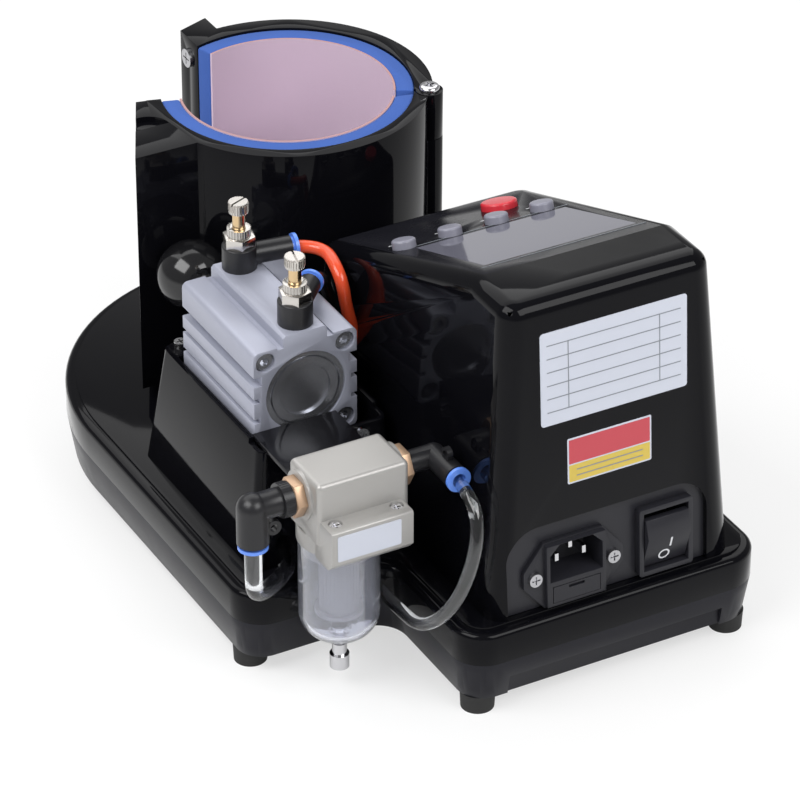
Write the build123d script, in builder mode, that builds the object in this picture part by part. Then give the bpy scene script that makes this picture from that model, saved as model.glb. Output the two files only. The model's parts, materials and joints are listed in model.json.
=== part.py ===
"""Pneumatic mug heat press: base, control housing, clamp jaws, air cylinder and air filter.

Millimetres, +Z up. The table is Z = 0. The operator stands on the +Y side, and the mains inlet is on
the -Y side. Plan positions are given from the middle of the base, which lies base_x from the origin.
"""
import os
from math import atan, cos, degrees, radians, sin, tan

from build123d import *

os.makedirs("parts", exist_ok=True)

# ---------------------------------------------------------------- driving dimensions
base_x = 6.15           # middle of the base from the origin
fit = 0.3               # gap between pieces that move past each other
shaft_fit = 0.05        # radial gap of a shaft in its hole

base_w = 228.0          # base, across X
near_y = -177.0         # near edge of the base
arc_y = 63.0            # centre of the round far end
notch_x = -41.5         # left side of the lobe under the control housing
lobe_y = -101.5         # near edge of the lobe under the cylinder
foot_h = 9.0
foot_r = 8.2
pan_h = 20.0            # lower half of the base
tray_h = 16.0           # upper half of the base
base_wall = 3.0
plateau_h = 1.2         # raised floor of the tray
plateau_inset = 5.2

draft = 4.0             # side slope of the control housing, degrees
box_left = -26.5        # control housing at its foot
box_right = 99.5
box_rear = -171.5
box_front = 14.5
box_top = 154.0         # height of the flat top strip above the tray
strip_w = 32.0          # depth of the flat top strip
slope = 20.5            # slope of the control panel, degrees
box_wall = 3.0

cylinder_x = -63.0      # axis of the air cylinder
cylinder_z = 121.5
cylinder_w = 52.0       # square section
cylinder_near = -64.0
cylinder_l = 71.5
cylinder_wall = 6.0
bore_r = cylinder_w / 2 - cylinder_wall
rod_r = 8.0
ball_r = 16.5
ball_y = 51.2

jaw_x = 11.5            # axis of the mug
jaw_y = 96.5
jaw_r = 50.6            # face of the heating mat
mat_t = 1.0
foam_t = 8.9
near_wall = 7.0
far_wall = 9.0
jaw_top = 180.0
jaw_lift = 8.0          # swinging jaw above the tray
pad_drop = 0.8          # foam and mat below the rim of the jaws
hinge_x = 70.0
hinge_y = 62.5
pin_r = 3.0
knuckle_r = 6.5
swing = 16.5            # closing swing of the near jaw, degrees

filter_x = -76.5        # axis of the filter bowl
filter_y = -120.5
filter_top = 121.0
port_z = 108.5
bowl_r = 18.5

# ---------------------------------------------------------------- heights and datums
seam_z = foot_h + pan_h
tray_z = seam_z + tray_h
deck = tray_z + plateau_h
base_left = -base_w / 2
base_right = base_w / 2


def finish(builder, node):
    """Label a finished piece and write it as one STEP file."""
    builder.part.label = node
    export_step(builder.part, f"parts/{node}.step")


def at(x, y, z=0.0):
    """A point given from the middle of the base."""
    return (base_x + x, y, z)


def across(x, y, z):
    """A sketch plane facing -Y: sketch x runs along +X and sketch y runs up."""
    return Plane(origin=at(x, y, z), x_dir=(1, 0, 0), z_dir=(0, -1, 0))


def sideways(x, y, z):
    """A sketch plane facing +X: sketch x runs along +Y and sketch y runs up."""
    return Plane(origin=at(x, y, z), x_dir=(0, 1, 0), z_dir=(1, 0, 0))


def level(x, y, z):
    """A level sketch plane facing up."""
    return Plane(origin=at(x, y, z))


# ---------------------------------------------------------------- base
lobe_corner_r = 16.0
housing_corner_r = 18.0
inner_corner_r = 12.0


def base_plan(inset):
    """Outline of the base: a round far end, a short lobe at the left and a long one at the right."""
    with BuildSketch() as plan:
        with Locations((base_x, arc_y)):
            Circle(base_w / 2)
        with Locations((base_x, near_y)):
            Rectangle(base_w, arc_y - near_y, align=(Align.CENTER, Align.MIN))
        with Locations((base_x + base_left, near_y)):
            Rectangle(
                notch_x - base_left, lobe_y - near_y, align=(Align.MIN, Align.MIN), mode=Mode.SUBTRACT
            )
        for corner, radius in (
            (at(base_right, near_y), housing_corner_r),
            (at(notch_x, near_y), lobe_corner_r),
            (at(base_left, lobe_y), lobe_corner_r),
            (at(notch_x, lobe_y), inner_corner_r),
        ):
            fillet(plan.vertices().sort_by_distance(corner)[0], radius)
        if inset:
            offset(amount=-inset)
    return plan.sketch


outline = base_plan(0)
inner_outline = base_plan(base_wall)
foot_places = (
    (base_left + 11.3, lobe_y + 18.3),
    (notch_x + 12.0, near_y + 13.0),
    (base_right - 12.3, near_y + 13.0),
    (base_left + 34.0, arc_y + 58.0),
    (base_right - 34.0, arc_y + 58.0),
    (base_right - 12.3, arc_y - 40.0),
)
pan_draft = 9.0
panel_step_h = 10.0      # shallow panel along the foot of the pan's near side
panel_step_depth = 1.2

with BuildPart() as base_pan:
    with BuildSketch(Plane.XY.offset(seam_z)):
        add(outline)
    extrude(amount=-pan_h, taper=pan_draft)
    with BuildSketch(Plane.XY.offset(seam_z)):
        add(inner_outline)
    extrude(amount=-(pan_h - base_wall), taper=pan_draft, mode=Mode.SUBTRACT)
    for x, y in foot_places:
        with BuildSketch(level(x, y, foot_h)):
            Circle(foot_r - 1.2)
        extrude(amount=pan_h)
    step_back = pan_h * tan(radians(pan_draft)) + panel_step_depth
    with BuildSketch(Plane.XY.offset(foot_h)):
        with Locations(at((notch_x + base_right) / 2, near_y)[:2]):
            Rectangle(base_right - notch_x - 44, 2 * step_back)
    extrude(amount=panel_step_h, mode=Mode.SUBTRACT)
finish(base_pan, "base_pan")

tube_r = 3.0             # small air tubes
feed_r = 4.0             # supply tube
grommet_gap = 0.05
orange_run = ((-24.9, -32.7, 131.4), (-15.1, -30.8, 103.1))   # last run, through the housing's wall
black_run = ((-25.2, -17.0, 130.9), (-12.5, -11.0, 104.3))
return_hole = (-50.5, 37.0)   # across and up, in the near wall of the lobe under the cylinder
tray_edge_r = 3.0

with BuildPart() as base_tray:
    with BuildSketch(Plane.XY.offset(seam_z)):
        add(outline)
    extrude(amount=tray_h)
    fillet(base_tray.faces().sort_by(Axis.Z)[-1].edges(), tray_edge_r)
    with BuildSketch(Plane.XY.offset(tray_z)):
        add(base_plan(plateau_inset))
    extrude(amount=plateau_h)
    with BuildSketch(Plane.XY.offset(seam_z)):
        add(inner_outline)
    extrude(amount=tray_h - base_wall, mode=Mode.SUBTRACT)
    with BuildSketch(across(return_hole[0], lobe_y, return_hole[1])):
        Circle(tube_r + grommet_gap)
    extrude(amount=2 * base_wall, both=True, mode=Mode.SUBTRACT)
finish(base_tray, "base_tray")

with BuildPart() as rubber_feet:
    for x, y in foot_places:
        with BuildSketch(level(x, y, foot_h)):
            Circle(foot_r)
        extrude(amount=-foot_h, taper=3)
        with BuildSketch(level(x, y, 0)):
            Circle(foot_r / 3)
        extrude(amount=foot_h / 3, mode=Mode.SUBTRACT)
finish(rubber_feet, "rubber_feet")

# ---------------------------------------------------------------- control housing
lean = tan(radians(draft))
break_y = box_rear + box_top * lean + strip_w
housing_edge_r = 8.0
upright_edge_r = 10.0


def housing_block(inset):
    """The housing's outer form, moved in by inset on every face except the foot."""
    rear = box_rear + inset
    front = box_front - inset
    top = deck + box_top - inset
    turn = inset * tan(radians(slope / 2))
    long = 400.0
    with BuildPart() as block:
        with BuildSketch(sideways(0, 0, 0)) as side:
            with BuildLine():
                Polyline(
                    (rear, deck),
                    (rear + (top - deck) * lean, top),
                    (break_y - turn, top),
                    (break_y - turn + long, top - long * tan(radians(slope))),
                    (rear + long * 2, deck - long),
                    (rear, deck - long),
                    close=True,
                )
            make_face()
            with BuildLine():
                Polyline(
                    (front, deck),
                    (front - box_top * 2 * lean, deck + box_top * 2),
                    (front + long * 3, deck + box_top * 2),
                    (front + long * 3, deck),
                    close=True,
                )
            make_face(mode=Mode.SUBTRACT)
            with Locations((0, deck)):
                Rectangle(long * 6, long * 2, align=(Align.CENTER, Align.MAX), mode=Mode.SUBTRACT)
        extrude(amount=long, both=True)
        with BuildSketch(across(0, 0, deck)):
            with BuildLine():
                Polyline(
                    (box_left + inset, 0),
                    (box_left + inset + box_top * lean, box_top),
                    (box_right - inset - box_top * lean, box_top),
                    (box_right - inset, 0),
                    close=True,
                )
            make_face()
        extrude(amount=long, both=True, mode=Mode.INTERSECT)
        uprights = block.edges().filter_by(lambda e: abs(e.tangent_at(0.5).Z) > 0.9)
        fillet(uprights, max(upright_edge_r - 3 * inset, 1))
    return block.part


rear_plane = Plane(
    origin=at(0, box_rear, deck),
    x_dir=(1, 0, 0),
    z_dir=(0, -cos(radians(draft)), sin(radians(draft))),
)
panel_plane = Plane(
    origin=at(0, break_y, deck + box_top),
    x_dir=(1, 0, 0),
    z_dir=(0, sin(radians(slope)), cos(radians(slope))),
)


def on_rear(depth):
    """The rear face's plane, moved into the housing by depth."""
    return rear_plane.offset(-depth)


def on_panel(depth):
    """The control panel's plane, moved into the housing by depth."""
    return panel_plane.offset(-depth)


def arched(width, height, radius):
    """An upright panel on the middle of its foot, with its two upper corners rounded."""
    with BuildSketch() as shape:
        Rectangle(width, height, align=(Align.CENTER, Align.MIN))
        fillet(shape.vertices().group_by(Axis.Y)[-1], radius)
    return shape.sketch


inlet_x = 15.8           # middle of the mains inlet, and its height above the tray
inlet_v = 17.0
rocker_x = 63.0
rocker_v = 19.0
opening_left = -18.5
opening_right = 85.0
opening_h = 43.6
opening_r = 16.0

window_x = 39.0          # middle of the display window along and down the panel
window_v = 49.5
window_w = 78.0
window_h = 66.0
window_t = 1.2
window_lip = 3.0

key_r = 5.6
key_places = tuple((x, 89.5) for x in (-2.2, 21.6, 45.8, 69.7))
power_place = (61.5, 116.0)
power_r = 8.6
post_r = 3.5
board_depth = 11.0
post_places = tuple((window_x + side * 44, v) for side in (-1, 1) for v in (8.0, 104.0))

with BuildPart() as control_housing:
    add(housing_block(0))
    crown = control_housing.edges().filter_by(
        lambda e: e.center().Z > deck + 90 and abs(e.tangent_at(0.5).Z) < 0.9
    )
    crown = crown.filter_by(
        lambda e: not (abs(e.center().Y - break_y) < 1 and abs(e.tangent_at(0.5).X) > 0.9)
    )
    fillet(crown, housing_edge_r)
    add(housing_block(box_wall), mode=Mode.SUBTRACT)
    for x, v in post_places:
        with BuildSketch(on_panel(box_wall - 0.5)):
            with Locations((x, v)):
                Circle(post_r)
        extrude(amount=-(board_depth - box_wall + 0.5))
    with BuildSketch(on_rear(-5)):
        with Locations(((opening_left + opening_right) / 2, -5)):
            add(arched(opening_right - opening_left, opening_h + 5, opening_r))
    extrude(amount=-(5 + box_wall + 1), mode=Mode.SUBTRACT)
    with BuildSketch(on_panel(0)):
        with Locations((window_x, window_v)):
            Rectangle(window_w, window_h)
    extrude(amount=-window_t, mode=Mode.SUBTRACT)
    with BuildSketch(on_panel(0)):
        with Locations((window_x, window_v)):
            Rectangle(window_w - 2 * window_lip, window_h - 2 * window_lip)
    extrude(amount=-box_wall * 2, mode=Mode.SUBTRACT)
    with BuildSketch(on_panel(-5)):
        with Locations(*key_places):
            Circle(key_r + fit)
        with Locations(power_place):
            Circle(power_r + fit)
    extrude(amount=-(5 + box_wall * 2), mode=Mode.SUBTRACT)
    for outside, inside in (orange_run, black_run):
        run = Vector(*at(*inside)) - Vector(*at(*outside))
        with BuildSketch(Plane(origin=at(*outside), z_dir=run)):
            Circle(tube_r + grommet_gap)
        extrude(amount=run.length, mode=Mode.SUBTRACT)
finish(control_housing, "control_housing")

# ---------------------------------------------------------------- mains inlet and switch
panel_t = 2.2
panel_lap = 2.0          # how far the inlet panel reaches behind the housing's wall
seat_gap = 0.6           # lower edge of the inlet panel above the tray
socket_w = 30.4
socket_h = 33.4
socket_proud = 2.0
socket_back = 22.0
flange_t = 2.2
ear_x = 20.2             # inlet screws from the middle of the inlet
cut_gap = 0.3
bezel_w = 28.0
bezel_h = 34.5
bezel_wall = 2.3
bezel_proud = 1.2
bezel_back = 20.0
rocker_depth = 5.0       # rocker axle behind the rear face
axle_r = 1.5

with BuildPart() as inlet_panel:
    with BuildSketch(on_rear(box_wall)):
        with Locations(((opening_left + opening_right) / 2, seat_gap)):
            add(
                arched(
                    opening_right - opening_left + panel_lap, opening_h + panel_lap / 2, opening_r
                )
            )
        with Locations((inlet_x, inlet_v)):
            Rectangle(socket_w + 2 * cut_gap, socket_h - 1, mode=Mode.SUBTRACT)
        with Locations((rocker_x, rocker_v)):
            Rectangle(bezel_w - 2, bezel_h - 2, mode=Mode.SUBTRACT)
        with Locations((inlet_x - ear_x, inlet_v), (inlet_x + ear_x, inlet_v)):
            Circle(1.7, mode=Mode.SUBTRACT)
    extrude(amount=-panel_t)
finish(inlet_panel, "inlet_panel")

cavity_w = 27.0
cavity_h = 18.6
cavity_v = 6.4
cavity_depth = 15.0
drawer_w = 24.0
drawer_h = 8.0
drawer_v = -9.6
drawer_l = 17.0

with BuildPart() as inlet_socket:
    with BuildSketch(on_rear(box_wall)) as ears:
        with Locations((inlet_x, inlet_v)):
            Polygon(
                (-ear_x - 5.4, -4.0),
                (-ear_x - 5.4, 4.0),
                (-socket_w / 2, socket_h / 2),
                (socket_w / 2, socket_h / 2),
                (ear_x + 5.4, 4.0),
                (ear_x + 5.4, -4.0),
                (socket_w / 2, -socket_h / 2),
                (-socket_w / 2, -socket_h / 2),
                align=None,
            )
        fillet(ears.vertices().sort_by(Axis.X)[:2] + ears.vertices().sort_by(Axis.X)[-2:], 2.5)
        with Locations((inlet_x - ear_x, inlet_v), (inlet_x + ear_x, inlet_v)):
            Circle(1.7, mode=Mode.SUBTRACT)
    extrude(amount=flange_t)
    with BuildSketch(on_rear(socket_back)):
        with Locations((inlet_x, inlet_v + 0.3)):
            Rectangle(socket_w, socket_h - 2.2)
    extrude(amount=socket_back + socket_proud)
    with BuildSketch(on_rear(-socket_proud)) as cavity:
        with Locations((inlet_x, inlet_v + cavity_v)):
            Rectangle(cavity_w, cavity_h)
        chamfer(
            cavity.vertices().sort_by(Axis.Y)[-2:], 5.0)
    extrude(amount=-(cavity_depth + socket_proud), mode=Mode.SUBTRACT)
    with BuildSketch(on_rear(-socket_proud)):
        with Locations((inlet_x, inlet_v + drawer_v)):
            Rectangle(drawer_w + 2 * fit, drawer_h + 2 * fit)
    extrude(amount=-(drawer_l + socket_proud), mode=Mode.SUBTRACT)
finish(inlet_socket, "inlet_socket")

pin_w = 1.8
pin_h = 3.6
pin_recess = 3.5         # pin tips behind the rear face
pin_places = tuple((inlet_x + dx, inlet_v + cavity_v + dv) for dx, dv in ((-7, -0.5), (7, -0.5), (0, 4.5)))

with BuildPart() as inlet_pins:
    with BuildSketch(on_rear(cavity_depth)):
        with Locations(*pin_places):
            Rectangle(pin_w, pin_h)
    extrude(amount=cavity_depth - pin_recess)
finish(inlet_pins, "inlet_pins")

with BuildPart() as fuse_drawer:
    with BuildSketch(on_rear(-socket_proud)):
        with Locations((inlet_x, inlet_v + drawer_v)):
            Rectangle(drawer_w, drawer_h)
    extrude(amount=-(drawer_l + socket_proud - fit))
    with BuildSketch(on_rear(-socket_proud)):
        with Locations((inlet_x, inlet_v + drawer_v + drawer_h / 2 - 1.5)):
            Rectangle(8, 1.4)
    extrude(amount=-1.2, mode=Mode.SUBTRACT)
finish(fuse_drawer, "fuse_drawer")

with BuildPart() as rocker_bezel:
    with BuildSketch(on_rear(box_wall)):
        with Locations((rocker_x, rocker_v)):
            RectangleRounded(bezel_w, bezel_h, 1.5)
    extrude(amount=box_wall + bezel_proud)
    with BuildSketch(on_rear(box_wall)):
        with Locations((rocker_x, rocker_v)):
            Rectangle(bezel_w - 2 - 2 * cut_gap, bezel_h - 2 - 2 * cut_gap)
    extrude(amount=-(bezel_back - box_wall))
    with BuildSketch(on_rear(-bezel_proud)):
        with Locations((rocker_x, rocker_v)):
            Rectangle(bezel_w - 2 * bezel_wall, bezel_h - 2 * bezel_wall)
    extrude(amount=-(bezel_back + bezel_proud - 2), mode=Mode.SUBTRACT)
    with Locations(Plane(origin=on_rear(rocker_depth).from_local_coords((rocker_x, rocker_v, 0)),
                         z_dir=(1, 0, 0))):
        Cylinder(axle_r + shaft_fit, bezel_w - 2 * bezel_wall + 2.4, mode=Mode.SUBTRACT)
finish(rocker_bezel, "rocker_bezel")

rocker_w = bezel_w - 2 * bezel_wall - 1.0
rocker_half = 12.8
ridge_up = 4.5           # the rocker's ridge above its axle, and out from it
ridge_out = 8.8
rocker_tilt = 10.0
rocker_side = Plane(
    origin=on_rear(rocker_depth).from_local_coords((rocker_x, rocker_v, 0)),
    x_dir=rear_plane.y_dir,
    z_dir=(1, 0, 0),
)

with BuildPart() as power_rocker:
    with BuildSketch(rocker_side):
        with Locations(Location((0, 0, 0), (0, 0, rocker_tilt))):
            Polygon(
                (-rocker_half, 6.2),
                (ridge_up, ridge_out),
                (rocker_half, 5.0),
                (rocker_half - 0.6, 1.8),
                (4, -4),
                (-4, -4),
                (-rocker_half + 0.6, 1.8),
                align=None,
            )
    extrude(amount=rocker_w / 2, both=True)
    with BuildSketch(rocker_side):
        Circle(axle_r)
    extrude(amount=rocker_w / 2 + 1.4, both=True)
finish(power_rocker, "power_rocker")

# ---------------------------------------------------------------- display and keys
board_t = 1.6
board_left = -9.0
board_right = 85.0
board_far = 124.0
glass_gap = 0.15
key_rise = 4.0
key_travel = 1.1
collar_t = 1.0
switch_gap = 0.3

with BuildPart() as display_window:
    with BuildSketch(on_panel(window_t)):
        with Locations((window_x, window_v)):
            Rectangle(window_w - 2 * glass_gap, window_h - 2 * glass_gap)
    extrude(amount=window_t)
finish(display_window, "display_window")

switch_top = box_wall + fit + collar_t + 3.0 + key_travel + switch_gap

with BuildPart() as display_board:
    with BuildSketch(on_panel(board_depth + board_t)):
        with Locations(((board_left + board_right) / 2, (board_far + 3) / 2)):
            Rectangle(board_right - board_left, board_far - 3)
    extrude(amount=board_t)
    with BuildSketch(on_panel(board_depth)):
        with Locations((window_x, window_v)):
            Rectangle(window_w - 2 * window_lip - 2, window_h - 2 * window_lip - 2)
    extrude(amount=board_depth - window_t - 0.4)
    with BuildSketch(on_panel(board_depth)):
        with Locations(*key_places, power_place):
            Rectangle(6, 6)
    extrude(amount=board_depth - switch_top)
finish(display_board, "display_board")


def key(name, place, radius, rise):
    """A push key: its cap, the collar that keeps it in the panel and the stem over its switch."""
    with BuildPart() as button:
        with BuildSketch(on_panel(box_wall + fit)):
            with Locations(place):
                Circle(radius)
        extrude(amount=box_wall + fit + rise)
        fillet(button.faces().sort_by(lambda f: f.center().dot(panel_plane.z_dir))[-1].edges(), 1.2)
        with BuildSketch(on_panel(box_wall + fit)):
            with Locations(place):
                Circle(radius + 1.2)
        extrude(amount=-collar_t)
        with BuildSketch(on_panel(box_wall + fit + collar_t)):
            with Locations(place):
                Circle(2.4)
        extrude(amount=-3.0)
    finish(button, name)


for name, place in zip(("set_key", "down_key", "up_key", "start_key"), key_places):
    key(name, place, key_r, key_rise)
key("power_key", power_place, power_r, key_rise - 0.6)

# ---------------------------------------------------------------- stand and bracket
stand_left = -100.5
stand_right = -28.2
stand_near = -84.5
stand_far = cylinder_near + cylinder_l + 22.0
stand_top = 106.5
stand_lean = 7.3         # how far the sloping sides come in by the top
stand_wall = 2.2
plate_t = 2.5            # bent plate under the cylinder
shelf_left = -90.5
shelf_right = -48.0
filter_back = filter_y + 12.0
cradle_z = cylinder_z - cylinder_w / 2
cylinder_left = cylinder_x - cylinder_w / 2
cylinder_right = cylinder_x + cylinder_w / 2
riser_y = cylinder_near - plate_t
rib_t = 3.0
rib_places = (riser_y + 6, 2.0)
stand_slope = degrees(atan(stand_lean / (stand_top - deck)))
shelf_screw = (cylinder_left + 3.5, cylinder_near + cylinder_l + 10.5)
side_screw = (-43.0, 100.0)   # across and up, in the stand's near side
side_seat = Plane(
    origin=at(
        side_screw[0], stand_near + (side_screw[1] - deck) * tan(radians(stand_slope)), side_screw[1]
    ),
    x_dir=(1, 0, 0),
    z_dir=(0, -cos(radians(stand_slope)), sin(radians(stand_slope))),
)
pilot_r = 1.6
tab_h = 15.5             # tab of the bent plate behind the filter's head
feed_hole = (-85.0, 57.0)   # across and up, in the stand's near side


def stand_block(inset):
    """The stand's outer form, moved in by inset."""
    with BuildPart() as block:
        with BuildSketch(Plane.XY.offset(deck)):
            with Locations(at((stand_left + stand_right) / 2, (stand_near + stand_far) / 2)[:2]):
                Rectangle(
                    stand_right - stand_left - 2 * inset, stand_far - stand_near - 2 * inset
                )
        with BuildSketch(Plane.XY.offset(stand_top - inset)):
            with Locations(
                at((stand_left + stand_lean + stand_right) / 2, (stand_near + stand_far) / 2)[:2]
            ):
                Rectangle(
                    stand_right - stand_left - stand_lean - 2 * inset,
                    stand_far - stand_near - 2 * stand_lean - 2 * inset,
                )
        loft()
        fillet(block.edges().filter_by(lambda e: abs(e.tangent_at(0.5).Z) > 0.8), 5.0 - inset)
    return block.part


with BuildPart() as stand_ribs:
    with BuildSketch(Plane.XY.offset(cradle_z - plate_t)):
        for y in rib_places:
            with Locations(at((stand_left + stand_right) / 2, y)[:2]):
                Rectangle(stand_right - stand_left, rib_t)
    extrude(amount=-(cradle_z - plate_t - deck))
    add(stand_block(stand_wall / 2), mode=Mode.INTERSECT)

with BuildPart() as stand_housing:
    add(stand_block(0))
    add(stand_block(stand_wall), mode=Mode.SUBTRACT)
    add(stand_ribs.part)
    with BuildSketch(Plane.XY.offset(stand_top)):
        with Locations(at(cylinder_left - 1.6, riser_y)[:2]):
            Rectangle(
                stand_right - stand_wall - cylinder_left + 1.6,
                cylinder_l + plate_t + 3,
                align=(Align.MIN, Align.MIN),
            )
    extrude(amount=-stand_wall * 2, mode=Mode.SUBTRACT)
    with BuildSketch(Plane.XY.offset(stand_top)):
        with Locations(at(stand_left, riser_y)[:2]):
            Rectangle(100, 40, align=(Align.MIN, Align.MAX))
    extrude(amount=-plate_t, mode=Mode.SUBTRACT)
    with BuildSketch(across(feed_hole[0], stand_near + 10, feed_hole[1])):
        Circle(feed_r + grommet_gap)
    extrude(amount=30, mode=Mode.SUBTRACT)
    with BuildSketch(level(*shelf_screw, stand_top)):
        Circle(pilot_r)
    extrude(amount=-2 * stand_wall, mode=Mode.SUBTRACT)
    with BuildSketch(side_seat):
        Circle(pilot_r)
    extrude(amount=stand_wall * 2, both=True, mode=Mode.SUBTRACT)
finish(stand_housing, "stand_housing")

with BuildPart() as cylinder_bracket:
    with BuildSketch(Plane.XY.offset(cradle_z)):
        with Locations(at(cylinder_x, riser_y)[:2]):
            Rectangle(
                cylinder_w, cylinder_l + plate_t + 2, align=(Align.CENTER, Align.MIN)
            )
    extrude(amount=-plate_t)
    with BuildSketch(Plane.XY.offset(cradle_z)):
        with Locations(at(shelf_left + 2.5, riser_y)[:2]):
            Rectangle(shelf_right - shelf_left - 2.5, plate_t, align=(Align.MIN, Align.MIN))
    extrude(amount=stand_top - cradle_z)
    with BuildSketch(Plane.XY.offset(stand_top)):
        with Locations(at(shelf_left, filter_back)[:2]):
            Rectangle(
                shelf_right - shelf_left, riser_y - filter_back + plate_t, align=(Align.MIN, Align.MIN)
            )
    extrude(amount=-plate_t)
    with BuildSketch(across(filter_x, filter_back, stand_top)):
        Rectangle(26, tab_h, align=(Align.CENTER, Align.MAX))
    extrude(amount=-plate_t)
finish(cylinder_bracket, "cylinder_bracket")

# ---------------------------------------------------------------- air cylinder
rail_w = 22.0
rail_h = 5.0
port_places = (-54.5, 0.5)   # flow valves along the rail
port_r = 4.8
port_deep = 7.5
hole_pitch = cylinder_w - 2 * cylinder_wall
cap_t = 8.0
bush_t = 6.0
piston_t = 8.0
cylinder_far = cylinder_near + cylinder_l
bolt_r = 2.6
bolt_places = tuple(
    (dx * hole_pitch / 2, dz * hole_pitch / 2) for dx in (-1, 1) for dz in (-1, 1)
)

slot_d = cylinder_wall / 2
side_slots = ((11.0, 5.0, slot_d + 1), (1.0, 2.4, slot_d), (-9.5, 2.4, slot_d))   # up, wide and deep

with BuildPart() as cylinder_body:
    with BuildSketch(across(cylinder_x, cylinder_near, cylinder_z)) as section:
        Rectangle(cylinder_w, cylinder_w)
        fillet(section.vertices(), 3.0)
        with Locations((0, cylinder_w / 2)):
            Rectangle(rail_w, 2 * rail_h)
        chamfer(section.vertices().sort_by(Axis.Y)[-2:], 1.2)
        for side in (-1, 1):
            for height, drop, depth in side_slots:
                with Locations((side * cylinder_w / 2, height)):
                    Rectangle(2 * depth, drop, mode=Mode.SUBTRACT)
            with Locations((side * (rail_w / 2 + 1.6), cylinder_w / 2)):
                Rectangle(3.2, 2.0, mode=Mode.SUBTRACT)
        Circle(bore_r, mode=Mode.SUBTRACT)
        with Locations(*bolt_places):
            Circle(bolt_r + shaft_fit, mode=Mode.SUBTRACT)
    extrude(amount=-cylinder_l)
    with BuildSketch(across(cylinder_x, cylinder_near, cylinder_z)):
        with Locations(*bolt_places):
            Circle(4.8)
    extrude(amount=-6.5, mode=Mode.SUBTRACT)
    for y in port_places:
        with BuildSketch(level(cylinder_x, y, cylinder_z + cylinder_w / 2 + rail_h)):
            Circle(port_r)
        extrude(amount=-port_deep, mode=Mode.SUBTRACT)
        with BuildSketch(level(cylinder_x, y, cylinder_z + cylinder_w / 2 + rail_h)):
            Circle(1.5)
        extrude(amount=-(rail_h + 12), mode=Mode.SUBTRACT)
finish(cylinder_body, "cylinder_body")

with BuildPart() as cylinder_cap:
    with BuildSketch(sideways(cylinder_x, 0, cylinder_z)):
        with BuildLine():
            Polyline(
                (cylinder_near + cap_t, 0),
                (cylinder_near + cap_t, bore_r),
                (cylinder_near + 0.6, bore_r),
                (cylinder_near + 0.6, bore_r - 2.4),
                (cylinder_near + 1.8, bore_r - 2.4),
                (cylinder_near + 1.8, bore_r - 3.4),
                (cylinder_near + 0.6, bore_r - 3.4),
                (cylinder_near + 0.6, bore_r - 7.2),
                (cylinder_near + 1.8, bore_r - 7.2),
                (cylinder_near + 1.8, 0),
                close=True,
            )
        make_face()
    revolve(axis=Axis(at(cylinder_x, 0, cylinder_z), (0, 1, 0)))
finish(cylinder_cap, "cylinder_cap")

with BuildPart() as rod_bush:
    with BuildSketch(across(cylinder_x, cylinder_far - bush_t, cylinder_z)):
        Circle(bore_r)
        Circle(rod_r + shaft_fit, mode=Mode.SUBTRACT)
    extrude(amount=-bush_t)
finish(rod_bush, "rod_bush")

with BuildPart() as cylinder_bolts:
    with BuildSketch(across(cylinder_x, cylinder_near + 6.5, cylinder_z)):
        with Locations(*bolt_places):
            Circle(4.3)
    extrude(amount=5.2)
    with BuildSketch(across(cylinder_x, cylinder_near + 6.5, cylinder_z)):
        with Locations(*bolt_places):
            Circle(bolt_r)
    extrude(amount=-(cylinder_l - 6.5))
    with BuildSketch(across(cylinder_x, cylinder_near + 1.3, cylinder_z)):
        with Locations(*bolt_places):
            RegularPolygon(2.3, 6)
    extrude(amount=-2.5, mode=Mode.SUBTRACT)
finish(cylinder_bolts, "cylinder_bolts")

piston_y = cylinder_near + cap_t + 1.0
stud_r = 5.0
ball_flat = 13.0

with BuildPart() as piston:
    with BuildSketch(across(cylinder_x, piston_y, cylinder_z)):
        Circle(bore_r - shaft_fit)
    extrude(amount=-piston_t)
finish(piston, "piston")

with BuildPart() as piston_rod:
    with BuildSketch(across(cylinder_x, piston_y + piston_t, cylinder_z)):
        Circle(rod_r)
    extrude(amount=-(ball_y - ball_flat - piston_y - piston_t))
    with BuildSketch(across(cylinder_x, ball_y - ball_flat, cylinder_z)):
        Circle(stud_r)
    extrude(amount=-ball_flat)
finish(piston_rod, "piston_rod")

with BuildPart() as ball_knob:
    with Locations(at(cylinder_x, ball_y, cylinder_z)):
        Sphere(ball_r)
    with BuildSketch(across(cylinder_x, ball_y - ball_flat, cylinder_z)):
        Rectangle(3 * ball_r, 3 * ball_r)
    extrude(amount=ball_r, mode=Mode.SUBTRACT)
    with BuildSketch(across(cylinder_x, ball_y - ball_flat, cylinder_z)):
        Circle(stud_r)
    extrude(amount=-ball_flat, mode=Mode.SUBTRACT)
finish(ball_knob, "ball_knob")

# ---------------------------------------------------------------- push-in fittings and flow valves
ring_travel = 1.0
ring_flange = 1.6
ring_gap = ring_travel + fit
sleeve_t = 1.4
sleeve_l = 4.0
plug_depth = 9.0         # how far a tube reaches past the mouth of its fitting
valve_places = {"far": (cylinder_x, port_places[1], -8.0), "near": (cylinder_x, port_places[0], 47.0)}
rail_z = cylinder_z + cylinder_w / 2 + rail_h
arm_z = rail_z + 5.5
arm_r = 5.2
arm_l = 24.5
body_r = 8.1
body_h = 11.6
nut_r = 7.75
nut_h = 5.0
lock_r = 5.5
lock_h = 4.0
needle_r = 3.0
needle_top = rail_z + 28.5
knob_r = 4.5
knob_h = 5.5


def mouth(plane, radius):
    """The hole of a push-in fitting for a tube of this radius, going in against the plane's normal."""
    with BuildPart() as hole:
        with BuildSketch(plane):
            Circle(radius + sleeve_t + fit)
        extrude(amount=-(sleeve_l + ring_gap))
        with BuildSketch(plane):
            Circle(radius + shaft_fit)
        extrude(amount=-plug_depth)
    return hole.part


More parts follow.
